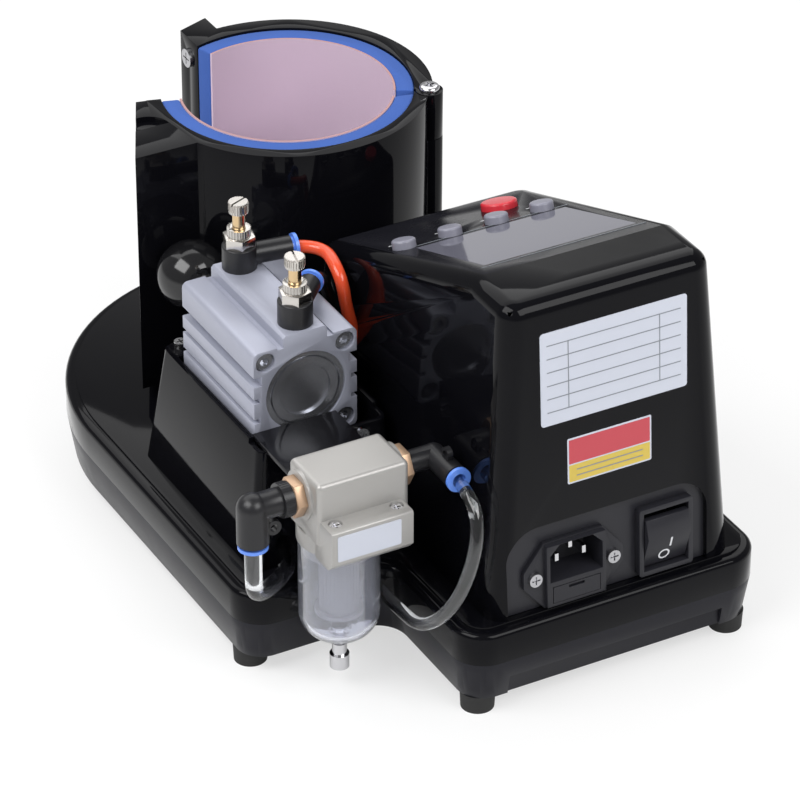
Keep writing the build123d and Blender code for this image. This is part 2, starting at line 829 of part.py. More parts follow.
def release_ring(name, plane, radius):
    """The ring around a tube that lets it go when it is pushed into the fitting."""
    with BuildPart() as ring:
        with BuildSketch(plane.offset(ring_gap)):
            Circle(radius + sleeve_t + 1.5)
            Circle(radius + 0.2, mode=Mode.SUBTRACT)
        extrude(amount=ring_flange)
        with BuildSketch(plane.offset(ring_gap)):
            Circle(radius + sleeve_t)
            Circle(radius + 0.2, mode=Mode.SUBTRACT)
        extrude(amount=-(sleeve_l + ring_gap - fit))
    finish(ring, name)


def arm_plane(side, distance):
    """The plane across a flow valve's arm at this distance from the valve's axis."""
    x, y, turn = valve_places[side]
    way = (cos(radians(turn)), sin(radians(turn)), 0)
    return Plane(
        origin=at(x + distance * way[0], y + distance * way[1], arm_z), x_dir=(0, 0, 1), z_dir=way
    )


for side, (x, y, turn) in valve_places.items():
    arm_side = arm_plane(side, 0)
    arm_mouth = mouth(arm_plane(side, arm_l), tube_r)
    with BuildPart() as valve_body:
        with BuildSketch(level(x, y, rail_z)):
            Circle(body_r)
        extrude(amount=body_h)
        fillet(valve_body.edges().group_by(Axis.Z)[-1], 0.8)
        with BuildSketch(level(x, y, rail_z)):
            Circle(port_r)
        extrude(amount=-port_deep)
        with BuildSketch(arm_side):
            Circle(arm_r)
        extrude(amount=arm_l)
        add(arm_mouth, mode=Mode.SUBTRACT)
        with BuildSketch(level(x, y, rail_z + body_h)):
            Circle(needle_r + shaft_fit)
        extrude(amount=-4, mode=Mode.SUBTRACT)
    finish(valve_body, f"valve_body_{side}")
    release_ring(f"ring_{side}", arm_plane(side, arm_l), tube_r)
    with BuildPart() as needle:
        with BuildSketch(level(x, y, rail_z + body_h - 4)):
            Circle(needle_r)
        extrude(amount=needle_top - rail_z - body_h + 4)
        with BuildSketch(level(x, y, needle_top)):
            Circle(knob_r)
            with PolarLocations(knob_r, 24):
                Circle(0.35, mode=Mode.SUBTRACT)
        extrude(amount=knob_h)
        with BuildSketch(level(x, y, needle_top + knob_h)):
            Rectangle(2 * knob_r, 1.0, rotation=turn + 30)
        extrude(amount=-1.6, mode=Mode.SUBTRACT)
    finish(needle, f"needle_{side}")

with BuildPart() as lock_nuts:
    for x, y, turn in valve_places.values():
        with BuildSketch(level(x, y, rail_z + body_h)):
            RegularPolygon(nut_r, 6, rotation=15)
        extrude(amount=nut_h)
        with BuildSketch(level(x, y, rail_z + body_h + nut_h)):
            Circle(lock_r)
            with PolarLocations(lock_r, 24):
                Circle(0.3, mode=Mode.SUBTRACT)
        extrude(amount=lock_h)
        with BuildSketch(level(x, y, rail_z + body_h)):
            Circle(needle_r + shaft_fit)
        extrude(amount=nut_h + lock_h, mode=Mode.SUBTRACT)
finish(lock_nuts, "lock_nuts")

# ---------------------------------------------------------------- air filter
head_left = filter_x - 18.5
head_right = filter_x + 27.0
boss_t = 1.2            # round boss on the head under each bushing
boss_r = 11.5
port_left = head_left - boss_t
port_right = head_right + boss_t
head_bottom = 90.0
head_front = filter_back - 28.0
block_left = head_left + 1.0
block_right = head_right - 4.0
block_back = head_front + 5.0
block_front = head_front - 11.0
block_top = 102.5
bowl_top = 81.5
neck_r = bowl_r + 0.6
bushing_t = 5.0
bushing_r = 9.6
thread_r = 5.6
thread_l = 8.0
collar_r = bowl_r - 2.2
collar_h = 6.0
bowl_bottom = 28.0
bowl_wall = 2.0
drain_r = 2.0
drain_travel = 2.5
element_r = 9.0
element_bottom = 40.0
well_r = 3.2
screw_sink = 2.8
ledge_screws = tuple(
    (x, head_front - well_r - 0.4) for x in (block_left + 5.5, block_right - 4.5)
)

port_faces = tuple(
    Plane(origin=at(x, filter_y, port_z), x_dir=(0, 1, 0), z_dir=(way, 0, 0))
    for x, way in ((port_left, -1), (port_right, 1))
)

with BuildPart() as filter_head:
    with BuildSketch(level((head_left + head_right) / 2, (filter_back + head_front) / 2, head_bottom)):
        Rectangle(head_right - head_left, filter_back - head_front)
    extrude(amount=filter_top - head_bottom)
    fillet(filter_head.edges().filter_by(lambda e: e.center().Z > head_bottom + 1), 2.6)
    with BuildSketch(level((block_left + block_right) / 2, block_back, bowl_top)):
        Rectangle(block_right - block_left, block_back - block_front, align=(Align.CENTER, Align.MAX))
    extrude(amount=block_top - bowl_top)
    lower_edge = filter_head.edges().filter_by(Axis.X).filter_by(
        lambda e: abs(e.center().Y - block_front) < 0.1 and e.center().Z < bowl_top + 1
    )
    chamfer(lower_edge, 4.0)
    upper_edge = filter_head.edges().filter_by(Axis.X).filter_by(
        lambda e: abs(e.center().Y - block_front) < 0.1 and e.center().Z > block_top - 1
    )
    fillet(upper_edge, 1.6)
    for face in port_faces:
        with BuildSketch(face):
            Circle(boss_r)
        extrude(amount=-2 * boss_t)
    with BuildSketch(level(filter_x, filter_y, head_bottom)):
        Circle(neck_r)
    extrude(amount=bowl_top - head_bottom)
    with BuildSketch(level(filter_x, filter_y, bowl_top)):
        Circle(collar_r)
    extrude(amount=-collar_h)
    with Locations(
        Location(at(port_left, filter_y, port_z), (0, 90, 0)),
        Location(at(port_right, filter_y, port_z), (0, 90, 0)),
    ):
        Cylinder(thread_r, 2 * thread_l, mode=Mode.SUBTRACT)
    with Locations(*(at(x, y, block_top) for x, y in ledge_screws)):
        Cylinder(pilot_r, 18, mode=Mode.SUBTRACT)
        Cylinder(well_r, 2 * screw_sink, mode=Mode.SUBTRACT)
finish(filter_head, "filter_head")

with BuildPart() as port_bushings:
    for face in port_faces:
        with BuildSketch(face):
            RegularPolygon(bushing_r, 6)
        extrude(amount=bushing_t)
        with BuildSketch(face):
            Circle(thread_r)
        extrude(amount=-thread_l)
        with BuildSketch(face.offset(bushing_t)):
            Circle(3.5)
        extrude(amount=-(bushing_t + thread_l), mode=Mode.SUBTRACT)
finish(port_bushings, "port_bushings")

with BuildPart() as filter_bowl:
    with BuildSketch(sideways(filter_x, 0, 0)):
        with BuildLine():
            outer = Line((filter_y + bowl_r, bowl_top), (filter_y + bowl_r, bowl_bottom + 14))
            dome = TangentArc(outer @ 1, (filter_y + 5, bowl_bottom), tangent=(0, -1))
            foot = Polyline(dome @ 1, (filter_y + 5, bowl_bottom - 2), (filter_y + drain_r + shaft_fit, bowl_bottom - 2))
            hole = Line(foot @ 1, (filter_y + drain_r + shaft_fit, bowl_bottom + 3))
            floor = Line(hole @ 1, (filter_y + 5, bowl_bottom + 3))
            inner = Line(
                (filter_y + bowl_r - bowl_wall, bowl_top), (filter_y + bowl_r - bowl_wall, bowl_bottom + 14)
            )
            TangentArc(inner @ 1, floor @ 1, tangent=(0, -1))
            Line(outer @ 0, inner @ 0)
        make_face()
    revolve(axis=Axis(at(filter_x, filter_y, 0), (0, 0, 1)))
finish(filter_bowl, "filter_bowl")

with BuildPart() as filter_element:
    with BuildSketch(level(filter_x, filter_y, bowl_top - collar_h)):
        Circle(element_r)
    extrude(amount=-(bowl_top - collar_h - element_bottom - 4))
    with BuildSketch(level(filter_x, filter_y, element_bottom + 4)):
        Circle(element_r + 2)
    extrude(amount=-2)
    with BuildSketch(level(filter_x, filter_y, element_bottom + 2)):
        Circle(5)
    extrude(amount=-2)
finish(filter_element, "filter_element")

with BuildPart() as drain_valve:
    with BuildSketch(level(filter_x, filter_y, bowl_bottom + 3 + fit)):
        Circle(3.6)
    extrude(amount=1.6)
    with BuildSketch(level(filter_x, filter_y, bowl_bottom + 3.5)):
        Circle(drain_r)
    extrude(amount=-12.5)
    with BuildSketch(level(filter_x, filter_y, bowl_bottom - 2 - drain_travel - fit)):
        Circle(3.4)
    extrude(amount=-6)
    with BuildSketch(level(filter_x, filter_y, bowl_bottom - 8 - drain_travel - fit)):
        Circle(4.5)
    extrude(amount=-7)
    with BuildSketch(level(filter_x, filter_y, 10)):
        Circle(1.2)
    extrude(amount=6, mode=Mode.SUBTRACT)
finish(drain_valve, "drain_valve")

left_elbow_x = -119.0
left_elbow_z = 91.0
left_elbow_r = 7.3
right_elbow_x = -28.7
right_elbow_y = -141.0
right_elbow_r = 5.6
left_mouth = Plane(origin=at(left_elbow_x, filter_y, left_elbow_z), x_dir=(1, 0, 0), z_dir=(0, 0, -1))
right_mouth = Plane(origin=at(right_elbow_x, right_elbow_y, port_z), x_dir=(1, 0, 0), z_dir=(0, -1, 0))

left_hole = mouth(left_mouth, feed_r)
right_hole = mouth(right_mouth, tube_r)

with BuildPart() as elbow_left:
    with BuildSketch(Plane(origin=at(port_left - bushing_t, filter_y, port_z), z_dir=(-1, 0, 0))):
        Circle(left_elbow_r + 0.7)
    extrude(amount=5.0)
    with BuildSketch(Plane(origin=at(port_left - bushing_t, filter_y, port_z), z_dir=(-1, 0, 0))):
        Circle(left_elbow_r - 0.9)
    extrude(amount=port_left - bushing_t - left_elbow_x)
    with Locations(at(left_elbow_x, filter_y, port_z)):
        Sphere(left_elbow_r)
    with BuildSketch(left_mouth):
        Circle(left_elbow_r)
    extrude(amount=-(port_z - left_elbow_z))
    with BuildSketch(across(left_elbow_x, filter_y + 1.5, left_elbow_z + 5)):
        Rectangle(9.5, 5.5, align=(Align.MIN, Align.CENTER))
        with Locations((9.8, 0)):
            Circle(3.6)
            Circle(1.8, mode=Mode.SUBTRACT)
    extrude(amount=3)
    add(left_hole, mode=Mode.SUBTRACT)
finish(elbow_left, "elbow_left")

with BuildPart() as elbow_right:
    with BuildSketch(Plane(origin=at(port_right + bushing_t, filter_y, port_z), z_dir=(1, 0, 0))):
        Circle(right_elbow_r - 0.2)
    extrude(amount=right_elbow_x - port_right - bushing_t)
    with Locations(at(right_elbow_x, filter_y, port_z)):
        Sphere(right_elbow_r)
    with BuildSketch(right_mouth):
        Circle(right_elbow_r)
    extrude(amount=right_elbow_y - filter_y)
    with BuildSketch(sideways(right_elbow_x - 1.3, right_elbow_y + 8, port_z)):
        Rectangle(5, 8, align=(Align.CENTER, Align.MIN))
        with Locations((0, 8.2)):
            Circle(3.0)
            Circle(1.5, mode=Mode.SUBTRACT)
    extrude(amount=2.6)
    add(right_hole, mode=Mode.SUBTRACT)
finish(elbow_right, "elbow_right")
release_ring("ring_left", left_mouth, feed_r)
release_ring("ring_right", right_mouth, tube_r)

# ---------------------------------------------------------------- air tubes


def bend_radii(points):
    """A bend radius at each inner point, from the shorter run beside it and the turn there."""
    radii = []
    for before, here, after in zip(points, points[1:], points[2:]):
        run_in = Vector(*here) - Vector(*before)
        run_out = Vector(*after) - Vector(*here)
        half = radians(run_in.get_angle(run_out)) / 2
        radii.append(round(0.45 * min(run_in.length, run_out.length) / tan(half), 2))
    return radii


def along(plane, distance):
    """A point on a mouth's axis, this far in front of the mouth, from the middle of the base."""
    spot = plane.offset(distance).origin
    return (spot.X - base_x, spot.Y, spot.Z)


def air_tube(name, points, radius, bore):
    """One air tube through these points, from fitting to fitting."""
    points = tuple(at(*point) for point in points)
    with BuildPart() as tube:
        with BuildLine() as path:
            FilletPolyline(*points, radius=bend_radii(points))
        with BuildSketch(Plane(origin=path.line @ 0, z_dir=path.line % 0)):
            Circle(radius)
            Circle(bore, mode=Mode.SUBTRACT)
        sweep()
    finish(tube, name)


far_mouth = arm_plane("far", arm_l)
near_mouth = arm_plane("near", arm_l)
orange_points = (
    along(far_mouth, -plug_depth),
    along(far_mouth, 14.5),
    (-28.5, -33.5, 156.0),
    *orange_run,
)
black_points = (
    along(near_mouth, -plug_depth),
    along(near_mouth, 15.5),
    *black_run,
)
outlet_points = (
    along(right_mouth, -plug_depth),
    along(right_mouth, 16.0),
    (-32.0, -168.0, 90.0),
    (-41.0, -166.0, 60.0),
    (-49.5, -150.0, 38.5),
    (return_hole[0], -126.0, return_hole[1]),
    (return_hole[0], -94.0, return_hole[1]),
)
inlet_points = (
    along(left_mouth, -plug_depth),
    along(left_mouth, 13.0),
    (-117.0, -117.0, 58.0),
    (-99.0, -105.0, 54.0),
    (-85.0, -95.0, 57.0),
    (-85.0, -76.0, 57.0),
)
air_tube("orange_air_tube", orange_points, tube_r, 2.0)
air_tube("black_air_tube", black_points, tube_r, 2.0)
air_tube("clear_outlet_tube", outlet_points, tube_r, 2.0)
air_tube("clear_inlet_tube", inlet_points, feed_r, 2.75)

# ---------------------------------------------------------------- jaws
near_start = 162.6
hinge_turn = degrees(atan((hinge_y - jaw_y) / (hinge_x - jaw_x)))
far_end = 108.3
shell_r = jaw_r + mat_t + foam_t
near_bottom = deck + jaw_lift
lining_bottom = near_bottom + 1.8
lining_top = jaw_top - pad_drop
knuckle_l = 24.0
wedge = swing + 1.0
foot_t = 3.5
foot_in = 11.0
scallop_r = 11.0


def arc_band(inner, outer, start, end):
    """A flat ring segment about the jaw's axis, between two angles."""
    reach = 2.4 * outer
    middle = (start + end) / 2
    with BuildSketch() as band:
        with Locations(at(jaw_x, jaw_y)[:2]):
            Circle(outer)
            Circle(inner, mode=Mode.SUBTRACT)
            corners = [(0, 0)]
            for part in range(7):
                turn = radians(start + (end - start) * part / 6)
                corners.append((reach * cos(turn), reach * sin(turn)))
            Polygon(*corners, align=None, mode=Mode.INTERSECT)
    return band.sketch


def hinge_cut(turn):
    """A half plane beyond a line through the hinge, on the side of the fixed jaw."""
    with BuildSketch() as cut:
        with Locations(Location(at(hinge_x, hinge_y), (0, 0, turn))):
            Rectangle(200, 200, align=(Align.CENTER, Align.MIN))
    return cut.sketch


near_cut = hinge_cut(hinge_turn + wedge)


def near_band(inner, outer):
    """The swinging jaw's ring segment, cut back at the hinge so that the jaw can close."""
    whole = arc_band(inner, outer, near_start, 360 + hinge_turn + 8)
    with BuildSketch() as band:
        add(whole)
        add(near_cut, mode=Mode.SUBTRACT)
    return band.sketch


flange = tuple(
    (jaw_x - reach * shell_r, jaw_y + rise)
    for reach, rise in ((1.545, -28.0), (0.917, -28.0), (0.917, 17.7), (1.149, 21.0))
)
near_shell = near_band(shell_r, shell_r + near_wall)
near_layer = near_band(shell_r - foam_t, shell_r)
near_mat = near_band(jaw_r, shell_r - foam_t)
far_shell = arc_band(shell_r, shell_r + far_wall, hinge_turn + 0.3, far_end)
far_foot = arc_band(shell_r - foot_in, shell_r + 1, hinge_turn + 6, far_end - 6)
far_layer = arc_band(shell_r - foam_t, shell_r, hinge_turn + 0.3, far_end)
far_mat = arc_band(jaw_r, shell_r - foam_t, hinge_turn + 0.3, far_end)

with BuildPart() as near_jaw:
    with BuildSketch(Plane.XY.offset(near_bottom)):
        add(near_shell)
        with Locations((base_x, 0)):
            Polygon(*flange, align=None)
        with Locations(at(jaw_x, jaw_y)[:2]):
            Circle(shell_r, mode=Mode.SUBTRACT)
    extrude(amount=jaw_top - near_bottom)
    for low, high in ((near_bottom, near_bottom + knuckle_l), (jaw_top - knuckle_l, jaw_top)):
        with BuildSketch(level(hinge_x, hinge_y, low)):
            Circle(knuckle_r + 0.6)
        extrude(amount=high - low, mode=Mode.SUBTRACT)
    with BuildSketch(level(hinge_x, hinge_y, near_bottom + knuckle_l + fit)):
        Circle(knuckle_r)
    extrude(amount=jaw_top - near_bottom - 2 * knuckle_l - 2 * fit)
    with BuildSketch(level(hinge_x, hinge_y, near_bottom)):
        Circle(pin_r + shaft_fit)
    extrude(amount=jaw_top - near_bottom, mode=Mode.SUBTRACT)
    with BuildSketch(Plane.XY.offset(jaw_top)):
        with Locations(at(jaw_x - shell_r - 15, jaw_y - 4.5)[:2]):
            Circle(scallop_r)
            Rectangle(
                2 * scallop_r, 2 * scallop_r, align=(Align.CENTER, Align.MAX), mode=Mode.SUBTRACT
            )
    extrude(amount=-3.0, mode=Mode.SUBTRACT)
finish(near_jaw, "near_jaw")

with BuildPart() as near_foam:
    with BuildSketch(Plane.XY.offset(lining_bottom)):
        add(near_layer)
    extrude(amount=lining_top - lining_bottom)
finish(near_foam, "near_foam")

with BuildPart() as near_heater:
    with BuildSketch(Plane.XY.offset(lining_bottom)):
        add(near_mat)
    extrude(amount=lining_top - lining_bottom)
finish(near_heater, "near_heater")

lug_left = -7.4
lug_right = 9.0
lug_corner = 172.4
lug_far = 178.5
lug_bottom = 60.0
lug_near = jaw_y + shell_r + 1
lug_outline = ((lug_left, lug_near), (lug_right, lug_near), (lug_right, lug_far), (lug_left, lug_corner))
lug_screw = (163.6, 169.3)   # across and up, in the left side of the lug
end_trim = (30.0, 40.0)      # what the flat end takes off the ring
foot_screws = tuple(
    (jaw_x + (shell_r - 5.5) * cos(radians(turn)), jaw_y + (shell_r - 5.5) * sin(radians(turn)))
    for turn in (0, 45, 90)
)

with BuildPart() as far_jaw:
    with BuildSketch(Plane.XY.offset(deck)):
        add(far_shell)
    extrude(amount=jaw_top - deck)
    with BuildSketch(Plane.XY.offset(deck)):
        add(far_foot)
    extrude(amount=foot_t)
    with BuildSketch(Plane.XY.offset(lug_bottom)):
        Polygon(*[at(*corner)[:2] for corner in lug_outline], align=None)
    extrude(amount=jaw_top - lug_bottom)
    with BuildSketch(Plane.XY.offset(deck)):
        with Locations(at(lug_left, lug_near)[:2]):
            Rectangle(*end_trim, align=(Align.MAX, Align.CENTER))
    extrude(amount=jaw_top - deck, mode=Mode.SUBTRACT)
    with BuildSketch(level(hinge_x, hinge_y, near_bottom + knuckle_l)):
        Circle(knuckle_r + 0.6)
    extrude(amount=jaw_top - near_bottom - 2 * knuckle_l, mode=Mode.SUBTRACT)
    for low, high in ((near_bottom, near_bottom + knuckle_l), (jaw_top - knuckle_l, jaw_top)):
        with BuildSketch(level(hinge_x, hinge_y, low)):
            Circle(knuckle_r)
        extrude(amount=high - low)
    with BuildSketch(level(hinge_x, hinge_y, near_bottom)):
        Circle(pin_r + shaft_fit)
    extrude(amount=jaw_top - near_bottom, mode=Mode.SUBTRACT)
    with Locations(*(at(x, y, deck + foot_t / 2) for x, y in foot_screws)):
        Cylinder(pilot_r, foot_t + 1, mode=Mode.SUBTRACT)
    with BuildSketch(sideways(lug_left, *lug_screw)):
        Circle(pilot_r)
    extrude(amount=8, mode=Mode.SUBTRACT)
finish(far_jaw, "far_jaw")

with BuildPart() as far_foam:
    with BuildSketch(Plane.XY.offset(lining_bottom)):
        add(far_layer)
    extrude(amount=lining_top - lining_bottom)
finish(far_foam, "far_foam")

with BuildPart() as far_heater:
    with BuildSketch(Plane.XY.offset(lining_bottom)):
        add(far_mat)
    extrude(amount=lining_top - lining_bottom)
finish(far_heater, "far_heater")

with BuildPart() as hinge_pin:
    with BuildSketch(level(hinge_x, hinge_y, near_bottom)):
        Circle(pin_r)
    extrude(amount=jaw_top - near_bottom)
    with BuildSketch(level(hinge_x, hinge_y, jaw_top)):
        Circle(4.9)
    extrude(amount=2.6)
    fillet(hinge_pin.edges().group_by(Axis.Z)[-1], 1.6)
    with BuildSketch(level(hinge_x, hinge_y, jaw_top + 2.6)):
        Rectangle(5, 1.1)
        Rectangle(1.1, 5)
    extrude(amount=-1.6, mode=Mode.SUBTRACT)
finish(hinge_pin, "hinge_pin")

with BuildPart() as mug_rest:
    with BuildSketch(level(jaw_x + 6.7, jaw_y + 8.2, deck)):
        Circle(34)
    extrude(amount=11.8)
    fillet(mug_rest.edges().group_by(Axis.Z)[-1], 1.5)
finish(mug_rest, "mug_rest")

# ---------------------------------------------------------------- screws


def screw(plane, shank, length, head, height):
    """A screw standing on the plane: its head above it, its shank below it and a cross recess."""
    with BuildPart() as solid:
        with BuildSketch(plane):
            Circle(head)
        extrude(amount=height)
        with BuildSketch(plane):
            Circle(shank)
        extrude(amount=-length)
        with BuildSketch(plane.offset(height)):
            Rectangle(1.3 * head, 0.7)
            Rectangle(0.7, 1.3 * head)
        extrude(amount=-0.6 * height, mode=Mode.SUBTRACT)
    return solid.part


ear_face = on_rear(box_wall - flange_t)
inlet_screws = [
    screw(
        Plane(
            origin=ear_face.from_local_coords((x, inlet_v, 0)), x_dir=(1, 0, 0), z_dir=rear_plane.z_dir
        ),
        1.65,
        6.0,
        3.2,
        1.8,
    )
    for x in (inlet_x - ear_x, inlet_x + ear_x)
]
foot_bolts = [screw(level(x, y, deck + foot_t), 1.55, 3.0, 3.2, 2.2) for x, y in foot_screws]
ledge_bolts = [screw(level(x, y, block_top - screw_sink), 1.55, 5.0, 2.9, 1.8) for x, y in ledge_screws]
lug_bolt = screw(Plane(origin=at(lug_left, *lug_screw), z_dir=(-1, 0, 0)), 1.55, 7.0, 4.7, 1.6)
shelf_bolt = screw(level(*shelf_screw, stand_top), 1.55, 4.0, 3.0, 3.0)
side_bolt = screw(side_seat, 1.55, 3.0, 3.5, 2.6)

with BuildPart() as machine_screws:
    add([*inlet_screws, *foot_bolts, lug_bolt])
finish(machine_screws, "machine_screws")

with BuildPart() as bracket_screws:
    add([*ledge_bolts, shelf_bolt, side_bolt])
finish(bracket_screws, "bracket_screws")

# ---------------------------------------------------------------- inside the control housing
pump_place = (20.0, -35.0)
pump_plate = (50.0, 34.0, 3.0)
pump_cradle = (40.0, 14.0)
pump_motor_r = 17.0
pump_motor_l = 46.0
pump_axis_z = deck + pump_plate[2] + 23.0
pump_head = (22.0, 38.0, 38.0)
pump_head_x = pump_place[0] + 26.0
pump_nipple_r = 3.0
pump_nipple_l = 10.0

with BuildPart() as air_pump:
    with BuildSketch(level(*pump_place, deck)):
        Rectangle(pump_plate[0], pump_plate[1])
    extrude(amount=pump_plate[2])
    with BuildSketch(level(*pump_place, deck + pump_plate[2])):
        Rectangle(*pump_cradle)
    extrude(amount=pump_axis_z - pump_motor_r / 2 - deck - pump_plate[2])
    with Locations(Location(at(pump_place[0] - 6.0, pump_place[1], pump_axis_z), (0, 90, 0))):
        Cylinder(pump_motor_r, pump_motor_l)
    with BuildSketch(level(pump_head_x, pump_place[1], deck + 6.0)):
        Rectangle(pump_head[0], pump_head[1])
    extrude(amount=pump_head[2])
    nipple_z = deck + 6.0 + pump_head[2] + pump_nipple_l / 2 - 1.0
    with Locations(*[at(pump_head_x, pump_place[1] + side * 10.0, nipple_z) for side in (-1, 1)]):
        Cylinder(pump_nipple_r, pump_nipple_l)
finish(air_pump, "air_pump")

valve_place = (74.0, -45.0)
valve_block = (20.0, 52.0, 24.0)
valve_coil = (22.0, 22.0, 26.0)
valve_coil_y = valve_place[1] - 15.0
valve_nipple_r = 3.0
valve_nipple_l = 8.0
valve_nipples = (valve_place[1] + 11.0, valve_place[1] + 19.0)

with BuildPart() as solenoid_valve:
    with BuildSketch(level(*valve_place, deck)):
        Rectangle(valve_block[0], valve_block[1])
    extrude(amount=valve_block[2])
    with BuildSketch(level(valve_place[0], valve_coil_y, deck + valve_block[2])):
        Rectangle(valve_coil[0], valve_coil[1])
    extrude(amount=valve_coil[2])
    nipple_z = deck + valve_block[2] + valve_nipple_l / 2
    with Locations(*[at(valve_place[0], y, nipple_z) for y in valve_nipples]):
        Cylinder(valve_nipple_r, valve_nipple_l)
finish(solenoid_valve, "solenoid_valve")

supply_place = (50.0, -105.0)
supply_board = (74.0, 56.0, 3.0)
supply_transformer = (34.0, 40.0, 34.0)
supply_heat_sink = (22.0, 44.0, 16.0)

with BuildPart() as power_supply:
    with BuildSketch(level(*supply_place, deck)):
        Rectangle(supply_board[0], supply_board[1])
    extrude(amount=supply_board[2])
    with BuildSketch(level(supply_place[0] - 16.0, supply_place[1], deck + supply_board[2])):
        Rectangle(supply_transformer[0], supply_transformer[1])
    extrude(amount=supply_transformer[2])
    with BuildSketch(level(supply_place[0] + 16.0, supply_place[1], deck + supply_board[2])):
        Rectangle(supply_heat_sink[0], supply_heat_sink[1])
    extrude(amount=supply_heat_sink[2])
finish(power_supply, "power_supply")
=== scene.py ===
import json
import math

import bmesh
import bpy
from mathutils import Matrix, Vector

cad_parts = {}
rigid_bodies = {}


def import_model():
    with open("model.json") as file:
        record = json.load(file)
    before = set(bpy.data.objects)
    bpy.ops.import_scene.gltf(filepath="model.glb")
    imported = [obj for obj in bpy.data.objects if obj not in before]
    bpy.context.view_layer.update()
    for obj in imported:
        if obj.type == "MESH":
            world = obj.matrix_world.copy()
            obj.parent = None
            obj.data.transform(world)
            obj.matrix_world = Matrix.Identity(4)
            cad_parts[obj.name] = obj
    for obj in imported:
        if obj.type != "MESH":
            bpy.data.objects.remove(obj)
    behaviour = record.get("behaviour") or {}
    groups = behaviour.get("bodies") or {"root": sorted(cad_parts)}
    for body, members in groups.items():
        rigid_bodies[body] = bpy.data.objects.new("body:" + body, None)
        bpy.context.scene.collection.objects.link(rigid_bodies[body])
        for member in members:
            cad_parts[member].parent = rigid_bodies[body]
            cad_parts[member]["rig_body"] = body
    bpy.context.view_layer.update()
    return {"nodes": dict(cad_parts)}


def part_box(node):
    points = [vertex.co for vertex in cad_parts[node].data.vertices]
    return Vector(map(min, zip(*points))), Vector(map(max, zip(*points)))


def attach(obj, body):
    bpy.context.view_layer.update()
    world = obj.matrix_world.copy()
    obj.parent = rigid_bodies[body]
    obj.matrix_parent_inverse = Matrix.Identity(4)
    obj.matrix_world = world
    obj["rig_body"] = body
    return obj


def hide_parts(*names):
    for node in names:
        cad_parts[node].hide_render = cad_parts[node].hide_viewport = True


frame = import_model()
mm = 0.001

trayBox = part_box("base_tray")
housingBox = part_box("control_housing")
baseMiddle = (trayBox[0][0] + trayBox[1][0]) / 2
deckHeight = housingBox[0][2] / mm
print("frame loaded:", len(frame["nodes"]), "nodes")


def at(x, y, z):
    # millimetres from the middle of the base
    return Vector((baseMiddle + x * mm, y * mm, z * mm))


def newGroup(name, inputs, outputs):
    tree = bpy.data.node_groups.new(name, "ShaderNodeTree")
    for label, kind, value in inputs:
        socket = tree.interface.new_socket(name=label, in_out="INPUT", socket_type=kind)
        if value is not None:
            socket.default_value = value
    for label, kind in outputs:
        tree.interface.new_socket(name=label, in_out="OUTPUT", socket_type=kind)
    return tree, tree.nodes.new("NodeGroupInput"), tree.nodes.new("NodeGroupOutput")


def addNode(tree, kind, values=(), **settings):
    node = tree.nodes.new(kind)
    for key, value in settings.items():
        setattr(node, key, value)
    for key, value in dict(values).items():
        node.inputs[key].default_value = value
    return node


def makeGrain():
    # fine raised grain of a moulded or cast skin
    tree, inside, outside = newGroup(
        "mouldedGrain",
        [
            ("Scale", "NodeSocketFloat", 900.0),
            ("Coarse", "NodeSocketFloat", 60.0),
            ("Share", "NodeSocketFloat", 0.3),
        ],
        [("Height", "NodeSocketFloat")],
    )
    place = addNode(tree, "ShaderNodeTexCoord")
    fine = addNode(tree, "ShaderNodeTexNoise", {"Detail": 3.0, "Roughness": 0.6})
    coarse = addNode(tree, "ShaderNodeTexNoise", {"Detail": 2.0})
    mix = addNode(tree, "ShaderNodeMix", data_type="FLOAT")
    link = tree.links.new
    link(place.outputs["Object"], fine.inputs["Vector"])
    link(place.outputs["Object"], coarse.inputs["Vector"])
    link(inside.outputs["Scale"], fine.inputs["Scale"])
    link(inside.outputs["Coarse"], coarse.inputs["Scale"])
    link(inside.outputs["Share"], mix.inputs["Factor"])
    link(fine.outputs["Fac"], mix.inputs["A"])
    link(coarse.outputs["Fac"], mix.inputs["B"])
    link(mix.outputs["Result"], outside.inputs["Height"])
    return tree


def makeSmudge():
    # broken film of dust and finger marks, as the roughness that it lifts
    tree, inside, outside = newGroup(
        "dustAndSmudge",
        [
            ("Scale", "NodeSocketFloat", 35.0),
            ("Amount", "NodeSocketFloat", 0.4),
            ("Low", "NodeSocketFloat", 0.08),
            ("High", "NodeSocketFloat", 0.3),
        ],
        [("Roughness", "NodeSocketFloat")],
    )
    place = addNode(tree, "ShaderNodeTexCoord")
    wide = addNode(tree, "ShaderNodeTexNoise", {"Detail": 5.0, "Roughness": 0.62, "Distortion": 0.4})
    ramp = addNode(tree, "ShaderNodeMapRange", {"From Min": 0.45, "From Max": 0.8})
    part = addNode(tree, "ShaderNodeMath", operation="MULTIPLY")
    rough = addNode(tree, "ShaderNodeMix", data_type="FLOAT")
    link = tree.links.new
    link(place.outputs["Object"], wide.inputs["Vector"])
    link(inside.outputs["Scale"], wide.inputs["Scale"])
    link(wide.outputs["Fac"], ramp.inputs["Value"])
    link(ramp.outputs["Result"], part.inputs[0])
    link(inside.outputs["Amount"], part.inputs[1])
    link(part.outputs["Value"], rough.inputs["Factor"])
    link(inside.outputs["Low"], rough.inputs["A"])
    link(inside.outputs["High"], rough.inputs["B"])
    link(rough.outputs["Result"], outside.inputs["Roughness"])
    return tree


